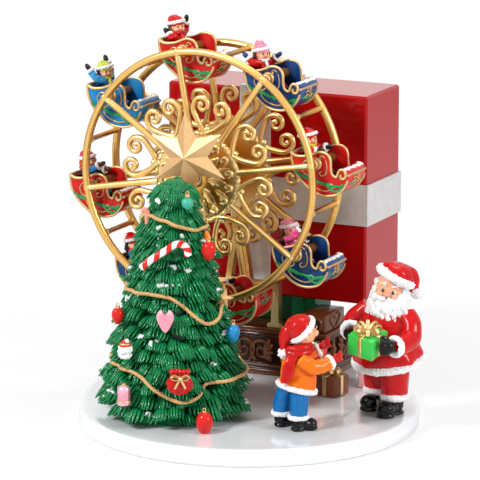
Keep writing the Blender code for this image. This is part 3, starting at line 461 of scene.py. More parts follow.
def lacquered_board(name, body, deep):
    """Fibre board sprayed with gloss lacquer and polished: a flat strong colour under a mirror-like coat,
    with the faint orange peel that spraying leaves."""
    material, shader = blank(name, Roughness=0.3, Coat_Roughness=0.04, IOR=1.2)
    edge_on = add(material, "LayerWeight", {"Blend": 0.45}).outputs["Facing"]
    feed(material, shader, "Coat Weight", edge_on, 0.1, 1.0)
    paints = {MIX_A: linear(body), MIX_B: linear(deep)}
    both = add(material, "Mix", paints, {0: grain(material, 40.0)}, data_type="RGBA")
    return finish(material, shader, both.outputs[MIX_RESULT], grain(material, 2.5, 2.0), 0.03, 0.4)


def metal(name, body, roughness, streak):
    """Machined metal for the movement: fine turning lines stretch its highlights."""
    material, shader = blank(name, Metallic=1.0, Roughness=roughness)
    lines = grain(material, 0.6, 2.0, 0.6, streak)
    share = add(material, "MapRange", {"To Min": 0.0, "To Max": 0.25}, {"Value": lines})
    tones = {MIX_A: linear(body), MIX_B: linear("5E4B2C")}
    both = add(material, "Mix", tones, {0: share.outputs["Result"]}, data_type="RGBA")
    return finish(material, shader, both.outputs[MIX_RESULT], lines, 0.03, 0.5)


def snow_resin():
    """Cast polyresin, sprayed pearly white under gloss lacquer: clean and glassy, faintly shaded."""
    shine = {"Roughness": 0.22, "Coat_Weight": 0.9, "Coat_Roughness": 0.05, "IOR": 1.5}
    material, shader = blank("gloss_snow_resin", **shine)
    whites = {MIX_A: linear("E4E7EC"), MIX_B: linear("EDEFF2")}
    both = add(material, "Mix", whites, {0: grain(material, 30.0)}, data_type="RGBA")
    return finish(material, shader, both.outputs[MIX_RESULT], grain(material, 14.0, 2.0), 0.25, 0.5)


# Real embossed ribs are about 0.8 mm apart. They are drawn further apart, so that they show
RIBS_APART = 1.8234
# The distance over which the diagonal bands of a wave texture repeat, at a scale of 1
BANDS_APART = math.tau / 10 / math.sqrt(3)


def foil_ribbon():
    """Silver foil on a paper ribbon, embossed with fine ribs: a satin sheen one way."""
    material, shader = blank("silver_foil_ribbon", Metallic=0.45)
    where = add(material, "TexCoord").outputs["Object"]
    scale = {"Scale": BANDS_APART / (RIBS_APART * MM)}
    ribs = add(material, "TexWave", scale, {"Vector": where}, bands_direction="DIAGONAL").outputs["Fac"]
    cloud = grain(material, 6.0)
    silvers = {MIX_A: linear("C8C5C4"), MIX_B: linear("E4E3E3")}
    both = add(material, "Mix", silvers, {0: cloud}, data_type="RGBA")
    feed(material, shader, "Roughness", cloud, 0.3, 0.42)
    return finish(material, shader, both.outputs[MIX_RESULT], ribs, 0.04, 0.4)


def pressed_felt():
    """Wool felt, pressed: matt, with short fibres that catch the light at the edge."""
    material, shader = blank("pressed_felt", Roughness=0.95, Sheen_Weight=0.4, Sheen_Roughness=0.5)
    greens = {MIX_A: linear("12402A"), MIX_B: linear("1E5A3E")}
    both = add(material, "Mix", greens, {0: grain(material, 0.8)}, data_type="RGBA")
    return finish(material, shader, both.outputs[MIX_RESULT], grain(material, 0.4), 0.2, 1.0)


def make_finishes():
    """Every finish by its name. Each paint has a painted shade for the hollows, its colour on flat parts and
    a painted highlight on edges.
    """
    found = {}
    # Each paint: painted shade for the hollows, its own colour, painted highlight for the edges
    colours = {
        "red": ("4E0002", "BE0509", "E22A22"),
        "santa_red": ("5A0004", "C4040F", "DE2420"),
        "navy": ("01081A", "052050", "1F5598"),
        "blue": ("022448", "0566A6", "2F9CD8"),
        "sky": ("043C6C", "1284C8", "6CC0EE"),
        "trousers": ("032A50", "0464A8", "2C90D4"),
        "pink": ("A83A58", "F0809C", "FFC2CE"),
        "hot_pink": ("7E1040", "DC3F80", "FF86B4"),
        "dark_green": ("010D08", "053A20", "1A7A4C"),
        "garland": ("022A12", "067030", "34AE68"),
        "gift_green": ("034A0E", "08A020", "3CC850"),
        "teal": ("02302A", "0A7E66", "4CC4A6"),
        "brown": ("140502", "4E1E12", "8A4A34"),
        "hair": ("140804", "3E1E0C", "7E4A24"),
        "ginger": ("5C1C04", "B8460E", "E87E38"),
        "black_hair": ("020101", "0E0A08", "2E2620"),
        "orange": ("A02C00", "F66C02", "FF9630"),
        "yellow": ("9A6602", "EDBE1C", "FFE264"),
        "lime": ("647008", "BECB34", "E6EE7E"),
        "skin": ("C4623C", "F4B088", "FFD2B4"),
        "rosy": ("C05040", "F0947A", "FAC0A4"),
        "rope": ("4A280E", "A8753C", "D8A870"),
        "salmon": ("9C3E2C", "E67E62", "F8B09A"),
    }
    for name, paints in colours.items():
        found[name] = painted_resin(f"painted_resin_{name}", *paints)
    # Modelled fur is painted with little lacquer, so it looks soft beside the rest
    found["fur"] = painted_resin("painted_resin_white_fur", "B2B6BE", "EEEEEE", "FAFAFA", 0.5, 0.05)
    # Snow brushed on the tufts: satin, with a cold painted shade in the hollows
    found["snow_dab"] = painted_resin("painted_resin_snow", "BEC8CE", "EAF0F1", "FAFCFC", 0.35, 0.1)
    # Fir green: painted shade nearly black in the depths and a painted highlight on the tips, under a wet
    # coat that glints
    found["tree"] = painted_resin("painted_resin_fir", "000502", "022A15", "138049", 0.13, 0.2)
    # A look of dark wood: painted brown-black shade in the depths and a warm painted highlight on the edges
    found["carved"] = painted_resin("painted_resin_carved_chest", "030100", "100502", "6A3A1E", 0.22, 0.2)
    # Boots, belt, mittens and eyes: a deep gloss black
    found["black"] = painted_resin("painted_resin_black_gloss", "000000", "050505", "161514", 0.1, 0.15)
    # The wheel and the stand: a yellow gold
    found["gilt"] = gilt("gilt_zinc_alloy", "905416", "EAB254", "FCE2A0")
    # The star's faces are satin: a paler bronze, and less of a mirror
    found["gilt_star"] = gilt("gilt_zinc_alloy_star", "8C5222", "BA7E40", "EAC088", 0.42, 0.45)
    # The leaves at the hub, a deeper gold with deeper painted shade in the hollows
    found["gilt_plate"] = gilt("gilt_zinc_alloy_plate", "7E4E16", "D8A650", "FCE2A2")
    # Gold paint is flakes in a binder, so it shines less than plating
    found["gilt_paint"] = gilt("gold_paint_on_resin", "6E3C12", "BE8844", "E8C286", 0.38, 0.5)
    # The gift box's boards
    found["box_red"] = lacquered_board("gloss_lacquer_red", "B00208", "A00005")
    # Blown glass, silvered inside and tinted: a soft pink mirror
    found["foil_pink"] = gilt("pink_mirror_glass", "A85C70", "E88FA8", "FFD0DC", 0.2, 0.5)
    # The movement and the key
    found["brass"] = metal("turned_brass", "C9A24E", 0.28, (1, 8, 1))
    found["steel"] = metal("ground_steel", "9A9A9C", 0.25, (8, 1, 1))
    found["snow"] = snow_resin()
    found["ribbon"] = foil_ribbon()
    found["felt"] = pressed_felt()
    return found


FINISH = make_finishes()


# The base, the chest, the stand and the gift box


def egg_ring(scale, z, count=180):
    """The base's outline: a circle at the front that runs on to an oval at the back."""
    found = []
    for i in range(count):
        t = math.tau * i / count
        away = t - math.radians(BASE_AXIS_DEG)
        reach = BASE_BACK_R if math.cos(away) > 0 else BASE_R
        radius = scale / math.hypot(math.cos(away) / reach, math.sin(away) / BASE_R)
        found.append(Vector((radius * math.cos(t), radius * math.sin(t), z)))
    return found


def make_base():
    """The snow base: a rounded edge, and a top that dips a little here and there."""
    inside = 0.9975
    drift, drift_size = 0.3, 26
    steps = 20
    # The edge from below to the top: (share of the outline, height)
    edge = (
        (0.9, 1.8), (0.9, 0.0), (0.985, 0.0), (0.995, 0.5), (1.0, 1.6), (1.0, 7.6), (0.9985, 9.0),
        (0.9945, 10.3), (0.987, 11.3), (0.976, 11.85), (0.962, BASE_TOP),
    )
    rings = [egg_ring(scale * inside, z) for scale, z in edge]
    for k in range(1, steps):
        ring = egg_ring(edge[-1][0] * (1 - k / steps), BASE_TOP)
        for p in ring:
            p.z -= drift * (0.5 + 0.5 * noise.noise(p / drift_size)) * min(k / 2, 1)
        rings.append(ring)
    rings.append([Vector((0, 0, BASE_TOP - drift / 2))])
    shape = Shape().rings([[Vector((0, 0, 1.8))], *rings])
    piece("snow_base", shape, FINISH["snow"], "stand", ["base"])


def scroll_relief(shape, place, width, height, side=1):
    """An acanthus scroll in relief. place turns (along, out, up) into a point of the chest."""
    spiral = []
    for i in range(20):
        t = i / 19
        angle = math.radians(-60 + 560 * t)
        r = 0.44 * height * (1 - t) ** 0.8 + 0.6
        spiral.append((side * (0.12 * width + r * math.cos(angle)), 0.0, r * math.sin(angle)))
    shape.tube([place(p) for p in spiral], [1.2, 1.5, 1.4, 1.2, 1.0, 1.3], 7)
    for k, (x, z) in enumerate(((-0.30, -0.30), (-0.38, -0.05), (-0.34, 0.22), (-0.18, 0.38))):
        root = Vector((side * 0.02 * width, 0, -0.22 * height + k * 1.2))
        tip = Vector((side * x * width, 0, z * height * 1.3))
        middle = (root + tip) / 2 + Vector((side * -1.4, 0.9, 1.2))
        path = smooth_path([root, middle, tip], 5)
        shape.tube([place(p) for p in path], [1.1, 2.0, 2.2, 1.5, 0.4], 7)


def outset(corners, out, z):
    """A ring of level corners, moved out from their walls."""
    ring = []
    for i, corner in enumerate(corners):
        before, after = corners[i - 1], corners[(i + 1) % len(corners)]
        u, v = (corner - before).normalized(), (after - corner).normalized()
        out_u, out_v = Vector((u.y, -u.x)), Vector((v.y, -v.x))
        middle = (out_u + out_v).normalized()
        p = corner + middle * out / middle.dot(out_u)
        ring.append(Vector((p.x, p.y, z)))
    return ring


def make_chest():
    """The carved chest that carries the wheel's stand and the gift box, and the block on its right end."""
    corners = [Vector(p) for p in (
        (CHEST_LEFT, PLINTH_FRONT), (CHEST_RIGHT, PLINTH_FRONT), (CHEST_RIGHT, CHEST_BACK),
        (CHEST_LEFT + CUT_X, CHEST_BACK), (CHEST_LEFT, CHEST_BACK - CUT_Y),
    )]
    # The mouldings from below to the top: (height, how far they stand out)
    foot = (
        (-0.1, 1.2), (0.6, 1.6), (3.0, 1.6), (3.8, 1.2), (4.2, 0.4), (5.4, 0.1), (6.4, 0.6), (7.2, 0.6),
        (8.0, -0.6),
    )
    cornice = ((-6.8, -0.6), (-6.0, 0.5), (-5.2, 0.6), (-4.4, 0.1), (-3.4, 1.3), (-0.5, 1.6), (0.0, 1.2))
    rings = [outset(corners, out, FLOOR + z) for z, out in foot]
    rings += [outset(corners, out, PLINTH_TOP + z) for z, out in cornice]
    body = Shape().rings(rings)
    piece("chest_body", body, FINISH["carved"], "stand", ["plinth"], bevel=0.5)

    relief = Shape()
    tall = PLINTH_TOP - FLOOR - 15
    # Each wall: its first corner, the way along it and the way out of it
    walls = (
        (corners[0], (1, 0, 0), (0, -1, 0), CHEST_RIGHT - CHEST_LEFT),
        (corners[1], (0, 1, 0), (1, 0, 0), CHEST_BACK - PLINTH_FRONT),
        (corners[4], (0, -1, 0), (-1, 0, 0), CHEST_BACK - CUT_Y - PLINTH_FRONT),
        (corners[2], (-1, 0, 0), (0, 1, 0), CHEST_RIGHT - CHEST_LEFT - CUT_X),
    )
    for corner, along, out, length in walls:
        start = Vector((*corner, (FLOOR + PLINTH_TOP) / 2))
        along, out = Vector(along), Vector(out)
        count = max(2, round(length / 19))
        step = length / count
        for k in range(count):
            centre = start + along * step * (k + 0.5) - out * 0.2

            def place(p, centre=centre, along=along, out=out):
                return centre + along * p[0] + out * p[1] + Vector((0, 0, p[2]))

            scroll_relief(relief, place, step, tall, 1 if k % 2 else -1)
    piece("chest_carving", relief, FINISH["carved"], "stand", sharp=60)

    # The raised block at the right end, with a heart on its side and a scroll on its front
    low = PLINTH_TOP + GLUE_GAP
    carved_block = Shape().block((2.4, PLINTH_FRONT + 0.2, low), (CHEST_RIGHT, PLINTH_FRONT + 35, low + 13))
    wood = FINISH["carved"]
    piece("chest_block", carved_block, wood, "stand", ["plinth_block"], bevel=1.2)
    carving = Shape()
    heart = ((0, -5.4), (6, -1.4), (8.6, 2.2), (6, 4.6), (2.2, 3.8), (0, 1.2))
    middle = Vector((CHEST_RIGHT + 0.1, PLINTH_FRONT + 17.5, low + 6.8))
    half = [middle + Vector((0, u, v)) for u, v in heart]
    other = [middle + Vector((0, -u, v)) for u, v in heart[4:0:-1]]
    carving.tube(smooth_path(half + other, 5, True), 0.9, 8, closed=True)

    def face(p):
        return Vector((12 + p[0], PLINTH_FRONT + 0.1 - p[1], low + 6.4 + p[2]))

    scroll_relief(carving, face, 18, 11, 1)
    piece("chest_block_carving", carving, wood, "stand", sharp=60)


def bevelled(name, width, material, segments=3):
    """Softens the edges of a CAD node, and finishes it."""
    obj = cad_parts[name]
    edge = edged(obj, width, segments, 25)
    edge.harden_normals = True
    obj.data.materials.clear()
    obj.data.materials.append(material)
    obj.data.shade_smooth()
    return obj


def make_box():
    """The gift box, its supports, the movement and the star: CAD nodes that only need edges and a finish."""
    bevelled("gift_box", 2.0, FINISH["box_red"], 4)
    bevelled("rear_cover", 0.5, FINISH["box_red"])
    bevelled("ribbon_band", 0.4, FINISH["ribbon"])
    bevelled("support_box", 0.8, FINISH["dark_green"])
    bevelled("stand_frame", 0.7, FINISH["gilt"])
    bevelled("base_pad", 0.3, FINISH["felt"])
    for name in (
        "axle_bush", "axle_gear", "movement_plate", "pin_cylinder", "spring_barrel", "governor",
        "winding_key",
    ):
        bevelled(name, 0.15, FINISH["brass"], 1)
    for name in ("axle", "comb"):
        bevelled(name, 0.15, FINISH["steel"], 1)
    bevelled("star", 0.5, FINISH["gilt_star"])


# The wheel

SPOKE_TUBE = 2.4  # a little thinner than the part's spoke, which is faceted
# Half a heart scroll, as (across, out from the hub)
HEART_LOBE = (
    (0.0, 32.5), (5.2, 36.2), (9.6, 41.0), (13.0, 45.4), (14.0, 49.6), (12.2, 54.6), (7.6, 56.8),
    (3.8, 54.4), (3.4, 50.4), (6.4, 48.0), (9.4, 49.8), (8.6, 52.0),
)


def wheel_side(y):
    """The rim, rope ring, spokes and heart scrolls of one side of the wheel."""
    shape = Shape()
    profile = [(y + RIM_TUBE * c, RIM_R + RIM_TUBE * d) for c, d in ROUND[24]]
    shape.turned(HUB, (0, 1, 0), profile, RIM_STEPS, closed=True)
    count, turns, strands, lay = 220, 34, 3, 0.8
    for strand in range(strands):
        path = []
        for i in range(count):
            angle = 360 * i / count
            twist = math.tau * (i / count * turns + strand / strands)
            path.append(polar(RING_R + lay * math.cos(twist), angle, y + lay * math.sin(twist)))
        shape.tube(path, 1.15, 6, closed=True)
    for k in range(SPOKES):
        spoke = SPOKE_PHASE_DEG + 360 * k / SPOKES
        path = [polar(r, spoke, y) for r in np.linspace(RING_R, RIM_R - 1.5, 12)]
        shape.tube(path, SPOKE_TUBE, 18)
        for side in (-1, 1):
            rivet = polar(RIM_R, spoke, y + side * 2.2)
            shape.turned(rivet, (0, side, 0), [(0, 2.3), (0.2, 2.2), (0.45, 1.4), (0.55, 0)], 12)
        t = math.radians(spoke + 180 / SPOKES)
        out, across = Vector((math.cos(t), 0, math.sin(t))), Vector((-math.sin(t), 0, math.cos(t)))
        middle = HUB + Vector((0, y, 0))
        for side in (1, -1):
            path = smooth_path([middle + out * v + across * u * side for u, v in HEART_LOBE], 4)
            shape.tube(path, [2.1, 2.1, 2.1, 2.0, 1.9, 1.8, 1.7, 1.7], 14)
            shape.ball(path[-1], (2.2, 1.9, 2.2), 14, 8)
        shape.ball(middle + out * 35.4, (2.3, 1.8, 2.3), 10, 6)
    return shape


def leaf(length, width, lift):
    """An acanthus leaf along +X that rises towards -Y, with a rib and lobed edges."""
    # The leaf's cut from side to side: (share of its half width, height)
    cut = ((-1, 0.15), (-0.6, 0.75), (-0.25, 0.55), (0, 1.1), (0.25, 0.55), (0.6, 0.75), (1, 0.15), (0, -0.6))
    rings = []
    steps = 14
    for i in range(steps + 1):
        t = i / steps
        lobes = 1 + 0.22 * math.cos(t * math.pi * 6)
        half = width * math.sin(math.pi * min(t * 0.94 + 0.04, 1)) ** 0.7 * lobes
        rise = lift * math.sin(t * math.pi * 0.75)
        rings.append([Vector((length * t, -rise - h * (1 - t * 0.6), half * u)) for u, h in cut])
    return Shape().rings(rings)


def make_wheel():
    """Both sides of the wheel with their hub plates, the rods and ties between them, and the leaves."""
    # The hub plates and boxes: (distance along the axle from the side's middle, radius)
    front_hub = (
        (-4.1, HUB_BORE), (-4.3, 4.5), (-4.0, 6.0), (-3.0, 7.0), (-3.2, 9.0), (-2.2, 12.0), (-1.4, 18.0),
        (-0.9, 24.0), (-1.2, 28.0), (-0.6, RING_R), (1.0, RING_R), (2.4, 10), (7.6, 8.5), (8, HUB_BORE),
    )
    rear_hub = (
        (-8, HUB_BORE), (-7.6, 8), (-1.4, 9), (-1.6, 20), (-1.2, RING_R), (1.2, RING_R), (1.8, 20),
        (1.6, 10), (3.8, 8), (4, HUB_BORE),
    )
    front, rear = wheel_side(FRONT_Y), wheel_side(REAR_Y)
    for side, y, hub in ((front, FRONT_Y, front_hub), (rear, REAR_Y, rear_hub)):
        side.turned(HUB, (0, 1, 0), [(y + along, r) for along, r in hub], 64, closed=True)
    # A rod for each sleigh, and a turned tie between each two
    a, b = FRONT_Y + 2.75, REAR_Y - 1.0
    tie = [(a, 1.6), (a + 0.4, 2.6), (a + 2, 2.6), (a + 3, ROD_R), (b - 3, ROD_R), (b - 2, 2.6), (b, 2.6)]
    for k in range(SPOKES):
        spoke = SPOKE_PHASE_DEG + 360 * k / SPOKES
        rear.tube([polar(RIM_R, spoke, FRONT_Y + 2.9), polar(RIM_R, spoke, REAR_Y)], ROD_R, 14)
        rear.turned(polar(RIM_R, spoke + 180 / SPOKES, 0), (0, 1, 0), tie, 14)
    plate = Shape()
    count = 16
    curl = ((25.0, 3), (28.0, 8), (27.4, 13), (24.2, 13.6), (23.4, 10.4), (25.2, 9.2))
    large_leaf, small_leaf = (leaf(15.5, 3.0, 1.0), 8.6, 2.3), (leaf(11.5, 2.0, 0.5), 16.0, 1.7)
    for y, face in ((FRONT_Y, 1), (REAR_Y, -1)):
        for k in range(count):
            one, start, depth = small_leaf if k % 2 else large_leaf
            spot = HUB + Vector((0, y - face * depth, 0))
            place = Matrix.Translation(spot) @ Matrix.Rotation(math.radians(360 / count * k + 5), 4, "Y")
            plate.join(one, place @ Matrix.Translation((start, 0, 0)) @ Matrix.Diagonal((1, face, 1, 1)))
        for k in range(count):
            path = [polar(r, 360 / count * k + turn, y - face * 1.7) for r, turn in curl]
            plate.tube(smooth_path(path, 4), [0.7, 1.2, 1.2, 1.1, 1.0, 1.2], 8)
    piece("wheel_front_gilt", front, FINISH["gilt"], "wheel", ["wheel_front"], sharp=50)
    piece("wheel_rear_gilt", rear, FINISH["gilt"], "wheel", ["wheel_rear"], sharp=50)
    piece("hub_leaves_gilt", plate, FINISH["gilt_plate"], "wheel", sharp=60)


# The sleighs and their riders

# A sleigh's outline and the room in its tub, as (x, z) round its pivot
SLEIGH_SIDE = (
    (-18.6, 6.2), (-15.4, 4.6), (-12.0, 4.4), (-8.0, 4.9), (-5.0, 5.6), (-2.0, 6.8), (0.5, 8.0), (3.0, 8.6),
    (5.5, 8.5), (8.2, 7.6), (10.2, 5.6), (11.2, 2.6), (11.3, -1.0), (11.6, -4.2), (12.6, -6.8), (14.2, -8.3),
    (15.8, -8.0), (16.6, -6.0), (17.2, -3.8), (18.4, -2.6), (20.0, -2.3), (22.2, -2.7), (24.2, -3.9),
    (24.9, -6.4), (24.2, -9.6), (22.6, -13.4), (20.0, -17.0), (16.6, -20.0), (12.0, -21.6), (7.0, -22.0),
    (2.0, -21.2), (-3.4, -18.8), (-8.0, -15.2), (-12.8, -10.6), (-16.4, -5.2), (-18.2, 0.6),
)
SEAT_Z = -6.5
SLEIGH_ROOM = (
    (-16.8, 14.0), (-16.3, 5.0), (-14.4, SEAT_Z), (-4.4, SEAT_Z), (-4.4, -15.0), (2.6, -19.2),
    (11.4, -19.2), (17.8, -15.6), (18.6, -8.0), (18.2, 14.0),
)


def sleigh_hull():
    """The tub of a sleigh round its pivot, as the points and faces of a shape."""
    w = SLEIGH_HALF
    outline = [Vector((x, 0, z)) for x, z in SLEIGH_SIDE]
    middle = sum(outline, Vector()) / len(outline)
    half = ((-w, 0.965), (-w + 0.45, 0.99), (-w + 1.2, 1.0))
    rings = [
        [middle + (p - middle) * scale + Vector((0, y, 0)) for p in outline]
        for y, scale in (*half, *((-y, scale) for y, scale in half[::-1]))
    ]
    tub = linked("tub", Shape().rings(rings))
    room = linked("room", Shape().slab(SLEIGH_ROOM, -w + 1.8, w - 1.8))
    solve = tub.modifiers.new("room", "BOOLEAN")
    solve.object = room
    solve.operation = "DIFFERENCE"
    solve.solver = "EXACT"
    edged(tub, 0.35, 2, 40)
    applied(tub)
    points = [v.co / MM - SHIFT for v in tub.data.vertices]
    faces = [list(f.vertices) for f in tub.data.polygons]
    for obj in (room, tub):
        bpy.data.objects.remove(obj)
    return points, faces


def sleigh_gilding():
    """The gold trims, scrolls and hinge barrel of a sleigh, round its pivot."""
    shape = Shape()
    hook = (
        (15.4, -8.2), (16.4, -6.4), (17.2, -4.2), (19.0, -2.6), (21.4, -3.2), (22.6, -5.6), (21.8, -8.4),
        (19.6, -9.0), (18.6, -7.4), (19.6, -6.2),
    )
    over, under = [*SLEIGH_SIDE[:15], *hook], [*SLEIGH_SIDE[24:36], SLEIGH_SIDE[0]]
    for side in (-1, 1):
        y = side * (SLEIGH_HALF + 0.1)
        for path, radii in (
            (over, [1.3, 1.0, 1.0, 1.0, 1.0, 1.0, 1.0, 1.2]),
            (under, [0.8, 1.0, 1.0, 0.9]),
        ):
            path = smooth_path([Vector((x, y, z)) for x, z in path], 3)
            shape.tube(path, radii, 7)
        for spirals in (
            ((-11.0, -2.2), (-8.2, 1.4), (-4.8, 1.2), (-4.6, -1.8), (-7.2, -2.4), (-7.4, -0.4)),
            ((-11.0, -2.2), (-9.4, -6.6), (-5.0, -8.6), (-1.6, -6.4), (-3.2, -4.2), (-5.0, -5.6)),
            ((7.4, 3.6), (8.6, -1.6), (7.6, -6.4), (4.4, -8.2), (2.6, -6.2), (4.4, -4.8)),
            ((6.8, 4.6), (4.6, 6.0), (2.8, 4.8), (4.0, 3.6)),
            ((1.0, -17.4), (6.0, -18.6), (11.0, -17.6), (13.6, -15.0), (11.6, -13.2), (9.8, -14.8)),
            ((1.0, -17.4), (-3.2, -15.0), (-5.4, -11.6), (-3.4, -10.6), (-2.6, -12.4)),
        ):
            path = smooth_path([Vector((x, side * (SLEIGH_HALF + 0.15), z)) for x, z in spirals], 5)
            shape.tube(path, [0.35, 0.6, 0.65, 0.55, 0.5, 0.75], 6)
    for x, z, r in ((-18.5, 6.3, 1.25), (24.6, -6.2, 0.9)):
        shape.tube([(x, -SLEIGH_HALF - 0.2, z), (x, SLEIGH_HALF + 0.2, z)], r, 8)
    for dx, dz in ((0, 0), (1.6, 2.4), (-1.6, -2.6)):
        wave = [
            (24.6 + dx * 0.2, -5 + dx, -10 + dz), (24.9, -2.6, -8.6 + dz), (24.9, 0, -10.4 + dz),
            (24.9, 2.6, -8.6 + dz), (24.6, 5 - dx, -10 + dz),
        ]
        shape.tube(smooth_path(wave, 4), [0.4, 0.6, 0.7, 0.6, 0.4], 6)
    barrel = [
        (-BARREL_REACH, 2.3), (-BARREL_REACH, 3.0), (-BARREL_REACH + 0.5, 3.5), (-SLEIGH_HALF - 2.0, 3.5),
        (-SLEIGH_HALF - 1.6, 4.4), (-SLEIGH_HALF - 0.1, 4.6), (-SLEIGH_HALF + 0.3, 3.5),
    ]
    profile = barrel + [(-y, r) for y, r in barrel[::-1]]
    shape.turned((0, 0, 0), (0, 1, 0), profile, 20, closed=True)
    return shape


def sprig(shape, path, radius, rng, spike):
    """A leafy garland: a thin stem with short needles all round it."""
    path = smooth_path(path, 6)
    shape.tube(path, radius, 6)
    for i in range(len(path) - 1):
        along = (path[i + 1] - path[i]).normalized()
        for _ in range(4):
            out = Matrix.Rotation(rng.random() * math.tau, 3, along) @ along.orthogonal().normalized()
            tip = path[i] + (out * 0.9 + along * 0.7) * spike * rng.uniform(0.7, 1.2)
            base = path[i] + out * radius * 0.4
            shape.tube([base, (base + tip) / 2 + along * 0.1, tip], [0.5, 0.55, 0.08], 4)


def sleigh_greens(rng):
    """The fir garlands painted on both sides of a sleigh and round its front."""
    shape = Shape()
    for side in (-1, 1):
        y = side * (SLEIGH_HALF + 0.3)
        line = (
            (-15.6, -6.4), (-9.6, -9.4), (-3.0, -10.8), (1.4, -12.6), (9.0, -13.8), (16.0, -14.8),
            (21.0, -13.6),
        )
        sprig(shape, [Vector((x, y, z)) for x, z in line], 0.8, rng, 1.5)
        loop = ((8.0, -13.6), (12.0, -17.4), (17.0, -18.2), (20.4, -14.6))
        sprig(shape, [Vector((x, y, z)) for x, z in loop], 0.5, rng, 1.1)
    places = np.linspace(-SLEIGH_HALF, SLEIGH_HALF, 9)
    sprig(shape, [(21.8, y, -13.4 - 0.9 * math.cos(y / 3)) for y in places], 0.8, rng, 1.4)
    return shape


RIDERS_LOOK_DEG = -34.0
SLEIGH_PAINT = ("red", "navy", "red", "navy", "red", "navy", "red", "blue")
# Hat, hair, coat, scarf and mittens of each rider, then the near hand, the far hand and the hat's tip
RIDERS = (
    ("red", "hair", "red", "red", "black", (-14.0, -8.5, 9.6), (-9.5, 9.5, 15.8), (-18.6, 18.4)),
    ("pink", "hair", "red", "fur", "navy", (-17.5, -9.6, 12.0), (-5.0, 8.6, 11.0), (-13.6, 24.6)),
    ("red", "black_hair", "red", "yellow", "black", (-2.6, -8.0, 7.6), (-2.6, 8.0, 7.6), (-18.8, 16.0)),
    ("pink", "hair", "hot_pink", "pink", "black", (0.5, -9.0, 17.5), (-2.6, 8.0, 7.6), (-16.6, 18.6)),
    ("red", "hair", "red", "fur", "black", (-2.6, -8.0, 7.6), (-2.6, 8.0, 7.6), (-17.0, 19.0)),
    ("red", "black_hair", "blue", "red", "black", (-2.6, -8.0, 7.6), (-2.6, 8.0, 7.6), (-17.0, 19.6)),
    ("red", "ginger", "blue", "red", "brown", (1.5, -8.8, 13.5), (-2.6, 8.0, 7.6), (-17.8, 17.6)),
    ("lime", "hair", "sky", "lime", "black", (-18.6, -10.0, 16.0), (-15.5, 9.6, 19.0), (-16.0, 20.0)),
)


def fur_band(shape, path, radius, rng, closed=False):
    """A lumpy white band along a path."""
    path = [Vector(p) for p in path]
    shape.tube(path, radius, 8, closed=closed)
    total = sum((b - a).length for a, b in zip(path, path[1:]))
    count = int(total / radius * 2.2)
    for i in range(count):
        t = i / count * (len(path) - 1)
        k = int(t)
        p = path[k].lerp(path[min(k + 1, len(path) - 1)], t - k)
        push = Vector((rng.uniform(-1, 1), rng.uniform(-1, 1), rng.uniform(-1, 1)))
        shape.ball(p + push.normalized() * radius * 0.45, radius * rng.uniform(0.6, 0.8), 8, 5)


def oval_path(centre, rx, ry, count=24, tilt_deg=0.0):
    """A level oval, or one that is tipped about Y."""
    centre = Vector(centre)
    turn = Matrix.Rotation(math.radians(tilt_deg), 3, "Y")
    return [centre + turn @ Vector((rx * c, ry * s, 0)) for c, s in ROUND[count]]


def hand_and_cuff(coat, fur, mitten, shoulder, hand, size, rng, bend):
    """A rider's sleeve from the shoulder to the hand, with its cuff and its mitten."""
    shoulder, hand = Vector(shoulder), Vector(hand)
    elbow = (shoulder + hand) / 2 + bend
    path = smooth_path([shoulder, elbow, hand], 5)
    coat.tube(path, [size * 1.15, size * 1.05, size * 0.95, size * 0.95], 10)
    along = (hand - elbow).normalized()
    side = along.orthogonal().normalized()
    ring = [hand + (side * c + along.cross(side) * s) * size * 0.85 for c, s in ROUND[14]]
    fur_band(fur, ring + ring[:1], size * 0.42, rng)
    turn = along.to_track_quat("X", "Z").to_matrix()
    mitten.ball(hand + along * size * 1.1, (size * 1.15, size * 0.85, size * 0.62), 12, 8, turn)
    mitten.ball(hand + along * size * 0.9 + turn @ Vector((0, size * 0.7, size * 0.3)), size * 0.36, 8, 6)


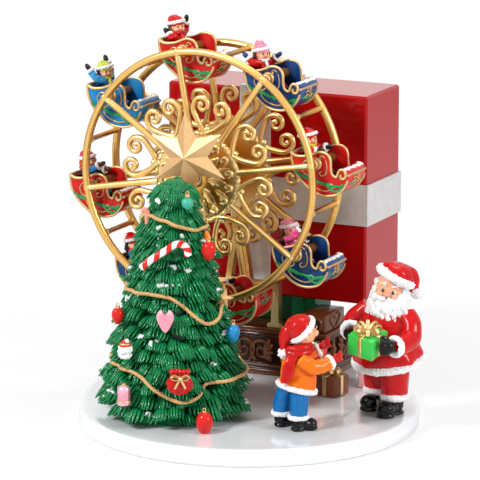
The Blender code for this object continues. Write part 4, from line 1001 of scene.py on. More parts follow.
def make_rider(k, matrix, body):
    """One rider, seated in the sleigh whose pivot is at matrix."""
    hat_colour, hair_colour, coat_colour, scarf_colour, mitten_colour, near, far, tip = RIDERS[k]
    rng = random.Random(40 + k)
    coat, fur, mitten, skin, hair, hat, scarf, boots = (Shape() for _ in range(8))
    seat = SEAT_Z + 0.3
    coat.oval_rings([
        (-9.2, 0, seat, 3.2, 6.6), (-9.6, 0, seat + 4, 3.7, 7.2), (-10.2, 0, 2, 3.8, 7.0),
        (-10.6, 0, 7, 3.9, 6.6), (-11.2, 0, 10, 2.9, 4.6), (-11.6, 0, 11.6, 1.6, 2.0),
    ])
    for side in (-1, 1):
        leg = [(-8, side * 3.6, seat + 2.4), (-2.5, side * 3.8, seat - 0.6), (4.5, side * 3.8, -8.4)]
        coat.tube(smooth_path(leg, 5), [3.0, 2.8, 2.4], 10)
        boots.tube([(4.0, side * 3.8, -8.2), (6.4, side * 3.8, -13.0)], [2.5, 2.3], 10)
        boots.ball((8.0, side * 3.8, -15.0), (3.9, 2.3, 2.2), 12, 7)
    for side, hand in ((-1, near), (1, far)):
        bend = Vector((0, side * 2.0, -1.2))
        hand_and_cuff(coat, fur, mitten, (-10.6, side * 5.4, 8.4), hand, 2.75, rng, bend)
    scarf.tube(oval_path((-11.8, 0, 9.9), 3.9, 4.6, 20, -12), 1.5, 8, closed=True)
    tail = smooth_path([(-8.4, -1.6, 10.4), (-7.0, -2.4, 7.4), (-6.4, -2.6, 3.6)], 4)
    scarf.tube(tail, [1.2, 1.4, 1.6], 8)
    head = Vector((-12.0, 0, 14.6))
    look = stand(head, RIDERS_LOOK_DEG)
    skin.ball(head, (5.4, 5.4, 5.6), 20, 14)
    skin.ball(look @ Vector((5.4, 0, -0.8)), 0.85, 10, 6)
    for side in (-1, 1):
        skin.ball(look @ Vector((3.8, side * 2.5, -1.8)), 1.6, 10, 6)
    for i in range(54):
        angle = math.radians(84 + 192 * (i % 18) / 17)
        level = (i // 18) * 2.5 - 4.4
        reach = 4.9 + rng.uniform(-0.3, 0.5)
        level += rng.uniform(-0.5, 0.5)
        spot = look @ Vector((reach * math.cos(angle), reach * math.sin(angle), level))
        hair.ball(spot, rng.uniform(1.2, 1.7), 8, 6)
    tip = Vector((tip[0], 0, tip[1]))
    crown = head + Vector((-0.6, 0, 2.4))
    hat.ball(crown, (5.9, 5.9, 5.0), 20, 12)
    tail = [crown + Vector((-1.0, 0, 1.4)), crown.lerp(tip, 0.6) + Vector((-0.6, 0, 1.2)), tip]
    hat.tube(smooth_path(tail, 6), [4.6, 4.0, 3.2, 2.4, 1.8, 1.3], 16, across=(0, 1, 0))
    fur_band(fur, oval_path(head + Vector((-0.7, 0, 2.9)), 5.7, 5.7, 24, -14), 1.25, rng, True)
    fur.ball(tip, 2.1, 12, 8)
    eyes = Shape()
    for side in (-1, 1):
        eyes.ball(look @ Vector((4.95, side * 1.85, 0.4)), (0.55, 0.55, 0.75), 8, 6)
    mouth = smooth_path([look @ Vector(q) for q in ((4.7, -1.3, -2.5), (5.2, 0, -3.1), (4.7, 1.3, -2.5))], 4)
    lips = Shape().tube(mouth, 0.36, 6)
    label = f"rider_{k + 1}"
    voxel = 0.42
    figure(label, body, matrix, None, (
        ("coat", coat, coat_colour, voxel, 3, (2.6, 0.5, k)),
        ("fur", fur, "fur", voxel, 1, (0.8, 0.35, k)),
        ("mittens", mitten, mitten_colour, voxel, 2, None),
        ("boots", boots, "black", voxel, 2, None),
        ("head", skin, "skin", voxel, 3, None),
        ("hair", hair, hair_colour, voxel, 1, None),
        ("hat", hat, hat_colour, voxel, 2, (2.4, 0.4, k)),
        ("scarf", scarf, scarf_colour, voxel, 1, (1.2, 0.3, k)),
    ))
    piece(f"{label}_eyes", eyes, FINISH["black"], body, matrix=matrix)
    piece(f"{label}_lips", lips, FINISH["red"], body, matrix=matrix)


def make_sleighs():
    """The eight sleighs on the wheel's rods, each with its rider."""
    hull_points, hull_faces = sleigh_hull()
    for k in range(SPOKES):
        pivot = polar(RIM_R, SPOKE_PHASE_DEG - 360 * k / SPOKES, MIDDLE_Y)
        tilt = -TIPPED_DEG if k == TIPPED_SLEIGH else 0
        matrix = Matrix.Translation(pivot) @ Matrix.Rotation(math.radians(tilt), 4, "Y")
        body = f"gondola_{k + 1}"
        label = f"sleigh_{k + 1}"
        rng = random.Random(7 + k)
        paint = SLEIGH_PAINT[k]
        shell = Shape().add(hull_points, hull_faces)
        piece(f"{label}_hull", shell, FINISH[paint], body, [label], matrix, 35)
        piece(f"{label}_gilding", sleigh_gilding(), FINISH["gilt_paint"], body, matrix=matrix, sharp=60)
        piece(f"{label}_greens", sleigh_greens(rng), FINISH["garland"], body, matrix=matrix, sharp=60)
        snow = Shape()
        for i in range(14):
            y = (i / 13 * 2 - 1) * (SLEIGH_HALF - 1.2)
            spot = (21.4 + rng.uniform(-0.6, 0.6), y, -3.1 + rng.uniform(-0.2, 0.3))
            snow.ball(spot, (2.0, 1.7, 1.2), 10, 6)
        sculpted(f"{label}_snow", snow, FINISH["snow_dab"], body, 0.5, 2, matrix=matrix)
        make_rider(k, matrix, body)


# The tree and its trimmings

# The part's tree from below to the top: (height, reach of its branches)
TIERS = ((16, 61), (37, 57.5), (56, 52.5), (76, 46.5), (97, 41.0), (117, 36.0), (137, 29.6), (156, 21.5))


def surface(points, faces):
    """A skin that rays can be cast at."""
    return BVHTree.FromPolygons([Vector(p) for p in points], [list(f) for f in faces])


def cad_skin(name):
    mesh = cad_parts[name].data
    return surface([v.co / MM - SHIFT for v in mesh.vertices], [f.vertices for f in mesh.polygons])


def outward(degrees):
    return Vector((math.cos(math.radians(degrees)), math.sin(math.radians(degrees)), 0))


def reach_of(skin, degrees, z):
    """How far the branches reach from the trunk's line, in one direction and at one height."""
    out = outward(degrees)
    hit = skin.ray_cast(TREE + out * BASE_R + Vector((0, 0, z)), -out)[0]
    return (hit - TREE).xy.length if hit else 0.0


def tuft(shape, place, length, width, droop, rng):
    """A broad fan of fir needles along +X that arches over and hangs down, in two layers."""
    for count, low, spread_out in ((7, 0.0, 1.0), (6, 0.42, 0.9)):
        for j in range(count):
            u = (2 * j / (count - 1) - 1) * spread_out
            reach = length * (1 - 0.36 * abs(u) ** 1.4) * rng.uniform(0.93, 1.05)
            rise = width * (0.52 * (1 - u * u) - low)
            needle = [
                (-1, u * width * 0.25, rise * 0.3), (reach * 0.55, u * width * 0.86, rise - droop * 0.25),
                (reach, u * width, rise * 0.2 - droop),
            ]
            path = [place @ q for q in smooth_path(needle, 3)]
            shape.tube(path, [width * 0.15, width * 0.19, width * 0.17, width * 0.03], 6)


def trunk_ring(radius, z):
    """A level ring round the trunk, flatter on the side of the wheel."""
    return [TREE + Vector((radius * c, radius * s * (TREE_BACK if s > 0 else 1), z)) for c, s in ROUND[32]]


def snow_patch(snow, spot, rng):
    """A little heap of snow on a branch."""
    for _ in range(7):
        push = Vector((rng.uniform(-2.2, 2.2), rng.uniform(-2.2, 2.2), rng.uniform(-2.4, 0.6)))
        snow.ball(spot + push, (rng.uniform(1.2, 2.1), rng.uniform(1.2, 2.1), rng.uniform(0.9, 1.5)), 8, 6)


def make_tree():
    """The fir: rows of tufts that end at the skin of the part's tree, round a plain core."""
    skin = cad_skin("tree")
    rng = random.Random(11)
    shape, snow = Shape(), Shape()
    core = [trunk_ring(40, FLOOR)] + [trunk_ring(r * 0.6, z + 4) for z, r in TIERS]
    shape.rings([*core, [TREE + Vector((0, 0, TREE_TOP - 6))]])
    rows = []
    z = 20.0
    while z < 172:
        rows.append(z)
        z += 8.4 - z * 0.010
    for level, z in enumerate(rows):
        rim = reach_of(skin, -90, z) or 10
        width = 6.6 - z * 0.013
        count = max(7, round(math.tau * rim / (width * 1.6)))
        for i in range(count):
            degrees = 360 * (i + 0.5 * (level % 2)) / count + rng.uniform(-4, 4)
            tip_z = z - 2.0 + rng.uniform(-3.2, 3.2)
            reach = max(reach_of(skin, degrees, max(tip_z, 14.5)), reach_of(skin, degrees, z + 3))
            if reach < 3:
                continue
            reach += rng.uniform(-1.6, 1.4)
            long = min(reach * 0.62, 15.0) * rng.uniform(0.92, 1.05)
            drop = 5.4 + rng.uniform(-2, 2.2)
            root = TREE + outward(degrees) * (reach - long) + Vector((0, 0, tip_z + drop))
            place = stand(root, degrees + rng.uniform(-9, 9))
            place = place @ Matrix.Rotation(math.radians(rng.uniform(-18, 18)), 4, "X")
            tuft(shape, place, long, width * rng.uniform(0.92, 1.15), drop, rng)
            if rng.random() < 0.17:
                spot = place @ Vector((long * rng.uniform(0.5, 0.75), 0, width * 0.45 - drop * 0.3))
                snow_patch(snow, spot, rng)
    # The blunt crown: short tufts that lean over more and more towards the top
    for below, r, count, lean in ((14, 9.0, 13, 4), (9, 6.0, 10, 8), (6.5, 0.5, 7, 8)):
        z = TREE_TOP - below
        for i in range(count):
            place = stand(TREE + Vector((0, 0, z)), 360 * i / count + z * 7, lean + rng.uniform(-4, 4))
            tuft(shape, place @ Matrix.Translation((r, 0, 0)), 10 * rng.uniform(0.9, 1.05), 4.4, 4.0, rng)
    piece("fir_branches", shape, FINISH["tree"], "stand", ["tree"], sharp=70)
    sculpted("fir_snow", snow, FINISH["snow_dab"], "stand", 0.55, 1)
    return surface(shape.points, shape.faces)


def wound(path, radius, turns, start, hint, closed=False):
    """A line that winds round a path: start is its share of a turn at the beginning."""
    n = len(path)
    found = []
    for i, p in enumerate(path):
        if closed:
            along = (path[(i + 1) % n] - p).normalized()
        else:
            along = (path[min(i + 1, n - 1)] - path[max(i - 1, 0)]).normalized()
        side = along.cross(Vector(hint)).normalized()
        t = math.tau * (turns * i / n + start)
        found.append(p + (side * math.cos(t) + side.cross(along) * math.sin(t)) * radius)
    return found


def make_garlands(skin):
    """The rope garlands: each lies on the branches, and dips as (middle, width in degrees, drop)."""
    count, strands, lay = 72, 3, 5.2
    for name, z, dips in (
        ("garland_upper", 154, [(-15, 55, 9)]),
        ("garland_middle", 103, [(-26, 28, 21)]),
        ("garland_lower", 50, [(-58, 24, 19), (0, 30, 7)]),
    ):
        path = []
        for i in range(count):
            angle = 360 * i / count - 180
            level = z
            for middle, width, drop in dips:
                away = (angle - middle + 180) % 360 - 180
                level -= drop * math.exp(-((away / width) ** 2))
            reach = max(
                reach_of(skin, angle + turn, level + rise) for turn in (-4, 0, 4) for rise in (-1, 1)
            )
            path.append(TREE + outward(angle) * (reach + 0.5) + Vector((0, 0, level)))
        eased = [(path[i - 1] + path[i] * 2 + path[(i + 1) % count]) / 4 for i in range(count)]
        route = smooth_path(eased, 6, True)
        length = sum((b - a).length for a, b in zip(route, route[1:]))
        rope = Shape()
        for strand in range(strands):
            twisted = wound(route, 0.62, round(length / lay), strand / strands, (0, 0, 1), True)
            rope.tube(twisted, 0.78, 6, closed=True)
        piece(f"{name}_rope", rope, FINISH["rope"], "stand", [name], sharp=80)


def hung_at(name):
    """The middle and the size of a CAD trimming."""
    low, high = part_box(name)
    return (low + high) / 2 / MM - SHIFT, (high - low) / MM


def make_bulbs(gold):
    """The glass bulbs, each with a gold cap and a loop."""
    # A bulb from below to the top: (height, radius), as shares of its radius
    outline = (
        (-1.25, 0), (-1.18, 0.3), (-0.9, 0.68), (-0.4, 0.97), (0, 1.04), (0.45, 0.92), (0.8, 0.6),
        (0.9, 0.34), (0.92, 0),
    )
    for name, colour, tall in (
        ("bulb_teal", "teal", 1.0), ("bulb_red_high", "red", 1.32), ("bulb_red_left", "red", 1.32),
        ("bulb_blue", "blue", 1.32), ("bulb_red_low", "red", 1.32),
    ):
        centre, size = hung_at(name)
        r = size.x / 2
        profile = [(z * r * tall, k * r) for z, k in outline]
        bulb = Shape().turned(centre + Vector((0, 0, -1.2)), (0, 0, 1), profile, 24)
        piece(f"{name}_glass", bulb, FINISH[colour], "stand", [name])
        top = centre + Vector((0, 0, r - 1.2))
        gold.turned(top, (0, 0, 1), [(0, 0), (0, 1.7), (1.6, 1.6), (2.0, 1.0), (2.2, 0)], 14)
        gold.tube([top + Vector((1.1 * c, 0, 2.8 + 1.1 * s)) for c, s in ROUND[12]], 0.35, 6, closed=True)


def make_heart():
    centre = hung_at("heart_bauble")[0]
    outline = smooth_path([
        (0, 0, -7.3), (5.4, 0, -1.6), (6.5, 0, 2.6), (3.4, 0, 5.7), (0, 0, 3.2), (-3.4, 0, 5.7),
        (-6.5, 0, 2.6), (-5.4, 0, -1.6),
    ], 4, True)
    half = ((-2.5, 0.55), (-2.1, 0.8), (-1.0, 0.97))
    rings = [
        [Vector((p.x * s, y, p.z * s)) for p in outline]
        for y, s in (*half, (0, 1.0), *((-y, s) for y, s in half[::-1]))
    ]
    place = stand(centre - Vector((0, 0, 1.5)), 18) @ Matrix.Diagonal((0.92, 1, 1.25, 1))
    heart = Shape().rings(rings)
    piece("heart_glass", heart, FINISH["pink"], "stand", ["heart_bauble"], matrix=place, sharp=70)


def make_bell(gold):
    centre = hung_at("bell_bauble")[0]
    bell = Shape().turned(centre, (0, 0, 1), [
        (-7.8, 0), (-7.9, 3.8), (-7.2, 4.7), (-6.2, 5.0), (-4.6, 4.5), (0, 4.5), (3.6, 4.6), (5.4, 3.6),
        (6.4, 1.9), (6.6, 0),
    ], 24)
    piece("bell_glass", bell, FINISH["foil_pink"], "stand", ["bell_bauble"])
    gold.turned(centre + Vector((0, 0, 6.2)), (0, 0, 1), [(0, 0), (0, 1.6), (1.4, 1.5), (1.8, 0)], 12)
    gold.turned(centre, (0, 0, 1), [(-5.4, 4.75), (-5.0, 5.1), (-4.4, 4.9), (-4.2, 4.6)], 24, closed=True)


def make_cap_bauble(gold):
    """A round white beard under a red cap, with a fur band and a pompom."""
    centre = hung_at("cap_bauble")[0]
    rng = random.Random(3)
    face = Shape().ball(centre + Vector((0, 0, -1.5)), (4.4, 3.6, 3.9), 18, 12)
    profile = [(0, 0), (0, 4.3), (2.0, 3.9), (4.4, 2.4), (5.6, 1.0), (5.8, 0)]
    cap = Shape().turned(centre + Vector((0, 0, 1.0)), (0, 0, 1), profile, 20)
    trim = Shape()
    fur_band(trim, oval_path(centre + Vector((0, 0, 0.9)), 4.0, 3.5, 20), 1.2, rng, True)
    trim.ball(centre + Vector((1.6, -0.6, 5.6)), 1.7, 10, 7)
    for _ in range(30):
        push = Vector((rng.uniform(-1, 1), rng.uniform(-1, 1), rng.uniform(-1, 0.6))).normalized()
        face.ball(centre + Vector((push.x * 4.4, push.y * 3.6, push.z * 4.2 - 2.2)), 1.5, 8, 6)
    gold.tube(oval_path(centre + Vector((0, 0, 3.6)), 3.7, 3.5, 20), 0.55, 6, closed=True)
    sculpted("cap_bauble_beard", face, FINISH["fur"], "stand", 0.45, 1, ["cap_bauble"])
    piece("cap_bauble_cap", cap, FINISH["red"], "stand")
    sculpted("cap_bauble_fur", trim, FINISH["fur"], "stand", 0.4, 1)


def make_bag(gold):
    """A cloth bag, gathered at its neck and tied with a gold bow."""
    place = stand(hung_at("bag_bauble")[0], 30) @ Matrix.Diagonal((1.2, 1.1, 1.15, 1))
    bag = Shape().ball((0, 0, -1.4), (7.8, 4.0, 6.6), 22, 14)
    for i in range(5):
        bag.ball((-4.4 + 2.2 * i, 0, 6.0), (1.5, 2.6, 2.2), 10, 7)
    sculpted("bag_cloth", bag, FINISH["red"], "stand", 0.5, 3, ["bag_bauble"], place, (3.0, 0.6, 2))
    bow = Shape()
    flat = ((1.2, 0.22), (-1.2, 0.22), (-1.2, -0.22), (1.2, -0.22))
    for side in (-1, 1):
        loop = [
            (0, -4.1, 3.2), (side * 3.0, -4.6, 5.4), (side * 5.4, -4.2, 4.0), (side * 3.2, -4.0, 2.2),
            (0, -4.1, 3.0),
        ]
        bow.tube(smooth_path(loop, 5), 1.0, section=flat, across=(0, 1, 0))
        bow.tube(smooth_path([(0, -4.2, 3.0), (side * 1.6, -4.6, 0), (side * 3.0, -4.4, -3.0)], 4), 0.7, 6)
    bow.ball((0, -4.6, 3.0), 1.4, 12, 8)
    bow.tube(oval_path((0, 0, 3.4), 5.2, 3.4, 20), 0.6, 6, closed=True)
    gold.join(bow, place)


def make_candy_cane():
    """A white rod with red stripes wound round it."""
    bend = ((-15, -5, 0), (-8, -5, 6), (1, -3, 12), (9, -1.5, 17), (15, 0, 15.5), (16.5, 1.5, 9))
    low = Vector([min(p[i] for p in bend) for i in range(3)])
    high = Vector([max(p[i] for p in bend) for i in range(3)])
    place = stand(hung_at("candy_cane")[0], 12) @ Matrix.Translation(-(low + high) / 2)
    path = smooth_path(bend, 12)
    rod = Shape().tube(path, 2.4, 16)
    piece("candy_cane_rod", rod, FINISH["fur"], "stand", ["candy_cane"], matrix=place)
    stripe = Shape()
    for strand in range(4):
        stripe.tube(wound(path, 1.75, 5.5, strand * 0.11, (0, 1, 0)), 0.9, 8)
    piece("candy_cane_stripes", stripe, FINISH["red"], "stand", matrix=place)


def make_small_trims(skin, gold):
    """Small trims tucked between the branches: a gold star, a salmon hook and an orange cone."""
    spot = TREE + outward(14) * (reach_of(skin, 14, 98) + 3.0) + Vector((4.0, -10, 97))
    turns = [math.radians(90 + 36 * k) for k in range(10)]
    tips = [(t, 3.1 if k % 2 else 7.2) for k, t in enumerate(turns)]
    flat = [Vector((r * math.cos(t), 0, r * math.sin(t))) for t, r in tips]
    small = Shape().rings([[Vector((0, -2.2, 0))], flat, [Vector((0, 1.2, 0))]])
    gold.join(small, stand(spot, 20, 14))
    hook = ((0, 0, -5), (0.4, 0, 0), (0.4, 0, 4.5), (-1.8, 0, 6.2), (-3.4, 0, 4.4))
    cone = ((0, 0, -3.6), (0, 0, -1), (0, 0, 1.5), (0, 0, 4.4))
    for name, colour, degrees, z, line, radii in (
        ("salmon_hook", "salmon", -131, 151, hook, [1.5, 2.2, 1.9, 1.6]),
        ("orange_cone", "orange", -2, 139, cone, [1.0, 3.2, 2.6, 0.8]),
    ):
        spot = TREE + outward(degrees) * (reach_of(skin, degrees, z) + 1.2) + Vector((0, 0, z))
        trim = Shape().tube(smooth_path(line, 5), radii, 14)
        piece(f"{name}_trim", trim, FINISH[colour], "stand", matrix=stand(spot, 20))


def make_trimmings(skin):
    """What hangs on the tree. Every gold cap, band and bow is one piece."""
    gold = Shape()
    make_bulbs(gold)
    make_heart()
    make_bell(gold)
    make_cap_bauble(gold)
    make_bag(gold)
    make_candy_cane()
    make_small_trims(skin, gold)
    piece("tree_gilt_caps", gold, FINISH["gilt_paint"], "stand", sharp=30)


# The figures


def boot_shape(shape, foot, length, height, width, splay):
    """A round-toed boot with a sole and a heel."""
    foot = Vector(foot)
    ankle, toe = foot + Vector((0, 0, height * 0.5)), foot + Vector((length * 0.8, splay, height * 0.4))
    shape.ball(ankle, (width * 0.56, width * 0.5, height * 0.5), 16, 10)
    shape.ball(ankle.lerp(toe, 0.55), (length * 0.42, width * 0.5, height * 0.42), 16, 10)
    shape.ball(toe, (width * 0.5, width * 0.54, height * 0.42), 16, 10)
    sole = [(x * 1.04, y * 1.04) for x, y in ROUND[16]]
    for spot, reach in ((ankle, 0.54), (toe, 0.5)):
        middle = Vector((spot.x, spot.y, foot.z + 0.3))
        ring = [middle + Vector((x * width * reach, y * width * 0.52, 0)) for x, y in sole]
        shape.rings([ring, [q + Vector((0, 0, 1.5)) for q in ring]])


def lock(shape, root, way, length, thick, rng):
    """One wavy lock of hair or beard that hangs from its root."""
    way = Vector(way).normalized()
    side = way.orthogonal().normalized()
    wave = rng.choice((-1, 1)) * length * 0.22
    steps = ((0, 0), (0.33, wave), (0.66, -wave * 0.6), (1, wave * 0.7))
    path = smooth_path([Vector(root) + way * length * t + side * w for t, w in steps], 3)
    shape.tube(path, [thick, thick * 1.15, thick * 0.9, thick * 0.4], 7)


def hood(hat, fur, place, dome, tail, pom, pom_r, band_r, band_thick, rng):
    """A stocking cap in its own place: a dome, a tail that folds over, a fur band and a pompom."""
    made = Shape().oval_rings(dome, 24)
    path, radii = tail
    made.tube(smooth_path(path, 6), radii, 18)
    hat.join(made, place)
    fur_band(fur, [place @ q for q in oval_path((0, 0, 0), band_r, band_r, 32)], band_thick, rng, True)
    fur.ball(pom, pom_r, 16, 10)
    for _ in range(26):
        push = Vector((rng.uniform(-1, 1), rng.uniform(-1, 1), rng.uniform(-1, 1))).normalized()
        fur.ball(Vector(pom) + push * pom_r * 0.85, pom_r * 0.34, 8, 6)


def sleeve(coat, fur, path, radii, cuff_r, cuff_thick, rng):
    """An arm, with a fur cuff round its end."""
    path = [Vector(q) for q in path]
    coat.tube(smooth_path(path, 5), radii, 16)
    along = (path[-1] - path[-2]).normalized()
    side = along.orthogonal().normalized()
    ring = [path[-1] + (side * c + along.cross(side) * d) * cuff_r for c, d in ROUND[20]]
    fur_band(fur, ring + ring[:1], cuff_thick, rng)


def make_santa():
    """Santa, who turns to the child with a gift between both mittens."""
    rng = random.Random(21)
    place = stand(SANTA, SANTA_LOOKS_DEG)
    coat, trousers, fur, boots, mitten, skin, beard, hat, brows, nose = (Shape() for _ in range(10))
    for foot_x, foot_y in ((-3, -10), (3.5, 10)):
        foot = Vector((foot_x, foot_y, -0.1))
        boot_shape(boots, foot, 14, 13.5, 12.5, 1.0)
        leg = [(9, 0), (9, 6.5), (13, 8.8), (20, 9.8), (30, 10.6), (40, 10.4), (41, 0)]
        trousers.turned(foot, (0, 0, 1), leg, 20)
        fur_band(fur, oval_path(foot + Vector((0, 0, 12.6)), 8.2, 8.0, 24), 2.6, rng, True)

    # The coat's skirt swings out in pleats, and tips with the belly
    skirt = stand((-1, 0, 40.5), 0, 11)
    flare = []
    for z, r in ((-5, 20), (-5, 23.2), (0, 23.8), (4, 22.4), (8, 20.4), (13, 18.6), (18, 15)):
        share = max(0.0, (8 - z) / 13)
        ring = []
        for i in range(64):
            t = math.tau * i / 64
            pleat = 1 + 0.028 * share * math.cos(9 * t + 0.6) + 0.018 * share * math.cos(5 * t)
            ring.append(Vector((r * pleat * math.cos(t), r * pleat * 1.04 * math.sin(t), z)))
        flare.append(ring)
    coat.join(Shape().rings(flare), skirt)
    coat.oval_rings([
        (-0.8, 0, 40, 15, 16), (-0.8, 0, 46, 18.4, 20), (-0.8, 0, 51, 18.2, 20), (-0.6, 0, 57, 18.6, 20.2),
        (-0.6, 0, 64, 17.8, 19.6), (-0.6, 0, 71, 15.6, 17.6), (-0.6, 0, 77, 12, 13), (-0.4, 0, 83, 6, 6),
    ], 32)
    fur_band(fur, [skirt @ q for q in oval_path((0, 0, -4.2), 22.6, 23.6, 40)], 3.1, rng, True)
    fur_band(fur, oval_path((0, 0, 78), 10.2, 11.4, 24), 2.8, rng, True)
    near = ((-2, 14.5, 71), (0, 21, 63), (4.3, 23.7, 56), (14, 24.9, 53.4), (22.5, 25.0, 53.8))
    far = ((2, -14, 72.5), (7, -20, 66), (14, -20.4, 61), (20, -16.6, 60.2), (24, -13.6, 59.8))
    sleeve(coat, fur, near, [7.2, 7.6, 7.4, 6.8, 6.0], 5.7, 2.3, rng)
    sleeve(coat, fur, far, [7.2, 7.2, 6.8, 6.0, 5.4], 5.2, 2.2, rng)
    mitten.ball((28.0, 24.6, 54.4), (4.6, 3.6, 4.6), 16, 10)
    for k in range(4):
        z = 50.4 + 2.7 * k
        tip = Vector((36.4 - abs(k - 1.5) * 0.9, 21.4, z + 0.2))
        mitten.tube(smooth_path([(28, 24.2, z), (32.6, 23.2, z + 0.2), tip], 4), [1.6, 1.55, 1.1], 9)
    mitten.tube(smooth_path([(26.5, 23.4, 57), (29.5, 21.6, 60.6), (32, 20.9, 61.6)], 4), [1.9, 1.8, 1.2], 9)
    mitten.ball((29.0, -10.6, 59.0), (4.8, 3.4, 4.6), 16, 10)
    for k in range(4):
        z = 55.4 + 2.4 * k
        mitten.tube([(29, -10.2, z), (35.0, -7.4, z)], [1.5, 1.1], 9)
    belt = Shape().tube(
        oval_path((-0.7, 0, 47.6), 19.2, 20.9, 48), 1.0, across=(0, 0, 1), closed=True,
        section=((2.8, -0.5), (2.8, 0.5), (2.2, 0.9), (-2.2, 0.9), (-2.8, 0.5), (-2.8, -0.5)),
    )
    buckle = Shape()
    for y0, y1, z0, z1 in (
        (-4.4, 4.4, 43.6, 45.0), (-4.4, 4.4, 50.2, 51.6), (-4.4, -3.0, 43.6, 51.6), (3.0, 4.4, 43.6, 51.6),
    ):
        buckle.block((18.4, y0, z0), (20.2, y1, z1))

    # The head turns to the left and nods towards the child; its parts are set round its middle.
    head = stand((-0.6, 2.4, 87.6), HEAD_TURN_DEG, 7) @ Matrix.Rotation(math.radians(-13), 4, "X")
    face = Shape().ball((0, 0, 0), (10.6, 10.6, 11.2), 28, 20)
    nose.ball((10.9, 0, -1.0), (2.5, 2.3, 2.0), 16, 10)
    for side in (-1, 1):
        face.ball((7.7, side * 5.0, -2.4), (3.3, 3.3, 2.8), 16, 10)
        nose.ball((8.9, side * 5.5, -2.6), (2.0, 2.2, 1.7), 14, 9)
        face.ball((-0.5, side * 10.4, -1.0), (2.0, 1.6, 2.6), 12, 8)
        brow = [(10.0, side * 1.8, 4.6), (9.3, side * 4.2, 5.8), (7.4, side * 6.6, 4.6)]
        brows.tube(smooth_path(brow, 4), [0.7, 0.95, 0.5], 8)
        tache = [
            (11.4, side * 0.5, -3.9), (11.2, side * 3.6, -5.0), (9.6, side * 6.6, -4.4),
            (8.2, side * 8.4, -2.6),
        ]
        brows.tube(smooth_path(tache, 5), [1.7, 2.1, 1.6, 0.6], 9)
    skin.join(face, head)
    brows = Shape().join(brows, head)
    nose = Shape().join(nose, head)

    # The beard and the hair: a full skin, covered with wavy locks
    chin = stand((-0.6, 2.4, 0), HEAD_TURN_DEG)
    full = Shape().oval_rings([
        (6, 0, 57.5, 0, 0), (6.2, 0, 58.5, 3.6, 5.0), (6, 0, 62, 6.8, 9.6), (5.6, 0, 67, 8.6, 13.0),
        (5.0, 0, 74, 9.2, 15.4), (4.0, 0, 79, 8.4, 14.6), (-0.6, 0, 86, 8.6, 12.4), (-1.6, 0, 94, 8.6, 11.0),
    ], 26)
    for _ in range(240):
        t = rng.random()
        angle = math.radians(rng.uniform(-112, 112))
        level = 61 + 30 * t
        a, b = (np.interp(t, (0, 0.4, 1), reach) for reach in ((7.0, 10.0, 8.4), (7.6, 15.4, 10.6)))
        spot = Vector((5.6 - 3.0 * t + a * math.cos(angle), b * math.sin(angle), level))
        if level > 77 and abs(spot.y) < 10.4 and spot.x > 2:
            continue
        inward = Vector((4 - spot.x, -spot.y, 0)).normalized()
        way = Vector((0, 0, -1)) + inward * (0.5 if level < 70 else 0.1)
        lock(full, spot, way, rng.uniform(5.0, 8.0), rng.uniform(1.1, 1.6), rng)
    for i in range(70):
        angle = math.radians(105 + 150 * (i % 14) / 13)
        spot = Vector((9.8 * math.cos(angle), 10.6 * math.sin(angle), 93 - (i // 14) * 3.2))
        lock(full, spot, (0, 0, -1), 5.0, 1.6, rng)
    beard.join(full, chin)

    cap = stand((-3.3, 4.8, 95.9), 130.7, 28)
    dome = [
        (0, 0, -3, 11.6, 11.6), (0, 0, 0, 12.3, 12.3), (0.1, 0, 3.4, 12.3, 12.4), (0.5, 0, 6.2, 11.0, 11.2),
        (1.4, 0, 8.4, 8.4, 8.8), (2.2, 0, 9.8, 5.0, 5.4), (2.6, 0, 10.3, 2, 2), (2.6, 0, 10.4, 0, 0),
    ]
    tail = [(3, 0, 5.2), (8.0, 0, 5.8), (12.0, 0, 3.6), (14.2, 0, -1.0), (14.6, 0, -5)]
    pom = Vector((-12.8, 15.6, 84.2))
    hood(hat, fur, cap, dome, (tail, [5.8, 5.2, 4.4, 3.4, 2.6]), pom, 4.2, 12.0, 3.3, rng)
    eyes, whites, shine = Shape(), Shape(), Shape()
    for side in (-1, 1):
        whites.ball((9.5, side * 3.8, 1.2), (0.9, 1.6, 1.4), 14, 9)
        eyes.ball((9.9, side * 3.7, 1.1), (0.9, 1.2, 1.4), 12, 8)
        # A painted glint on each eye, in white
        shine.ball((10.75, side * 3.7 + 0.4, 1.6), 0.28, 8, 6)
    mouth = smooth_path([(10.7, -1.8, -7.0), (11.3, 0, -7.9), (10.7, 1.8, -7.0)], 4)
    lips = Shape().tube(mouth, [0.6, 1.1, 0.6], 8)
    figure("santa", "stand", place, "red_resin", (
        ("coat", coat, "santa_red", 0.7, 4, (9.0, 0.7, 5)),
        ("trousers", trousers, "santa_red", 0.8, 2, (7.0, 0.6, 4)),
        ("fur", fur, "fur", 0.65, 1, (1.3, 0.6, 1)),
        ("boots", boots, "black", 0.6, 3, None),
        ("mittens", mitten, "black", 0.5, 2, None),
        ("head", skin, "skin", 0.5, 3, None),
        ("nose", nose, "rosy", 0.4, 2, None),
        ("beard", beard, "fur", 0.5, 1, (0.9, 0.3, 2)),
        ("brows", brows, "fur", 0.4, 1, (0.9, 0.3, 2)),
        ("hat", hat, "santa_red", 0.6, 3, (8.0, 0.7, 8)),
    ))
    piece("santa_belt", belt, FINISH["black"], "stand", matrix=place, bevel=0.3)
    piece("santa_buckle", buckle, FINISH["gilt"], "stand", matrix=place, bevel=0.2)
    for part, shape, paint in (
        ("eye_whites", whites, "fur"), ("eyes", eyes, "black"), ("eye_shine", shine, "fur"),
        ("lips", lips, "red"),
    ):
        piece(f"santa_{part}", shape, FINISH[paint], "stand", matrix=place @ head)


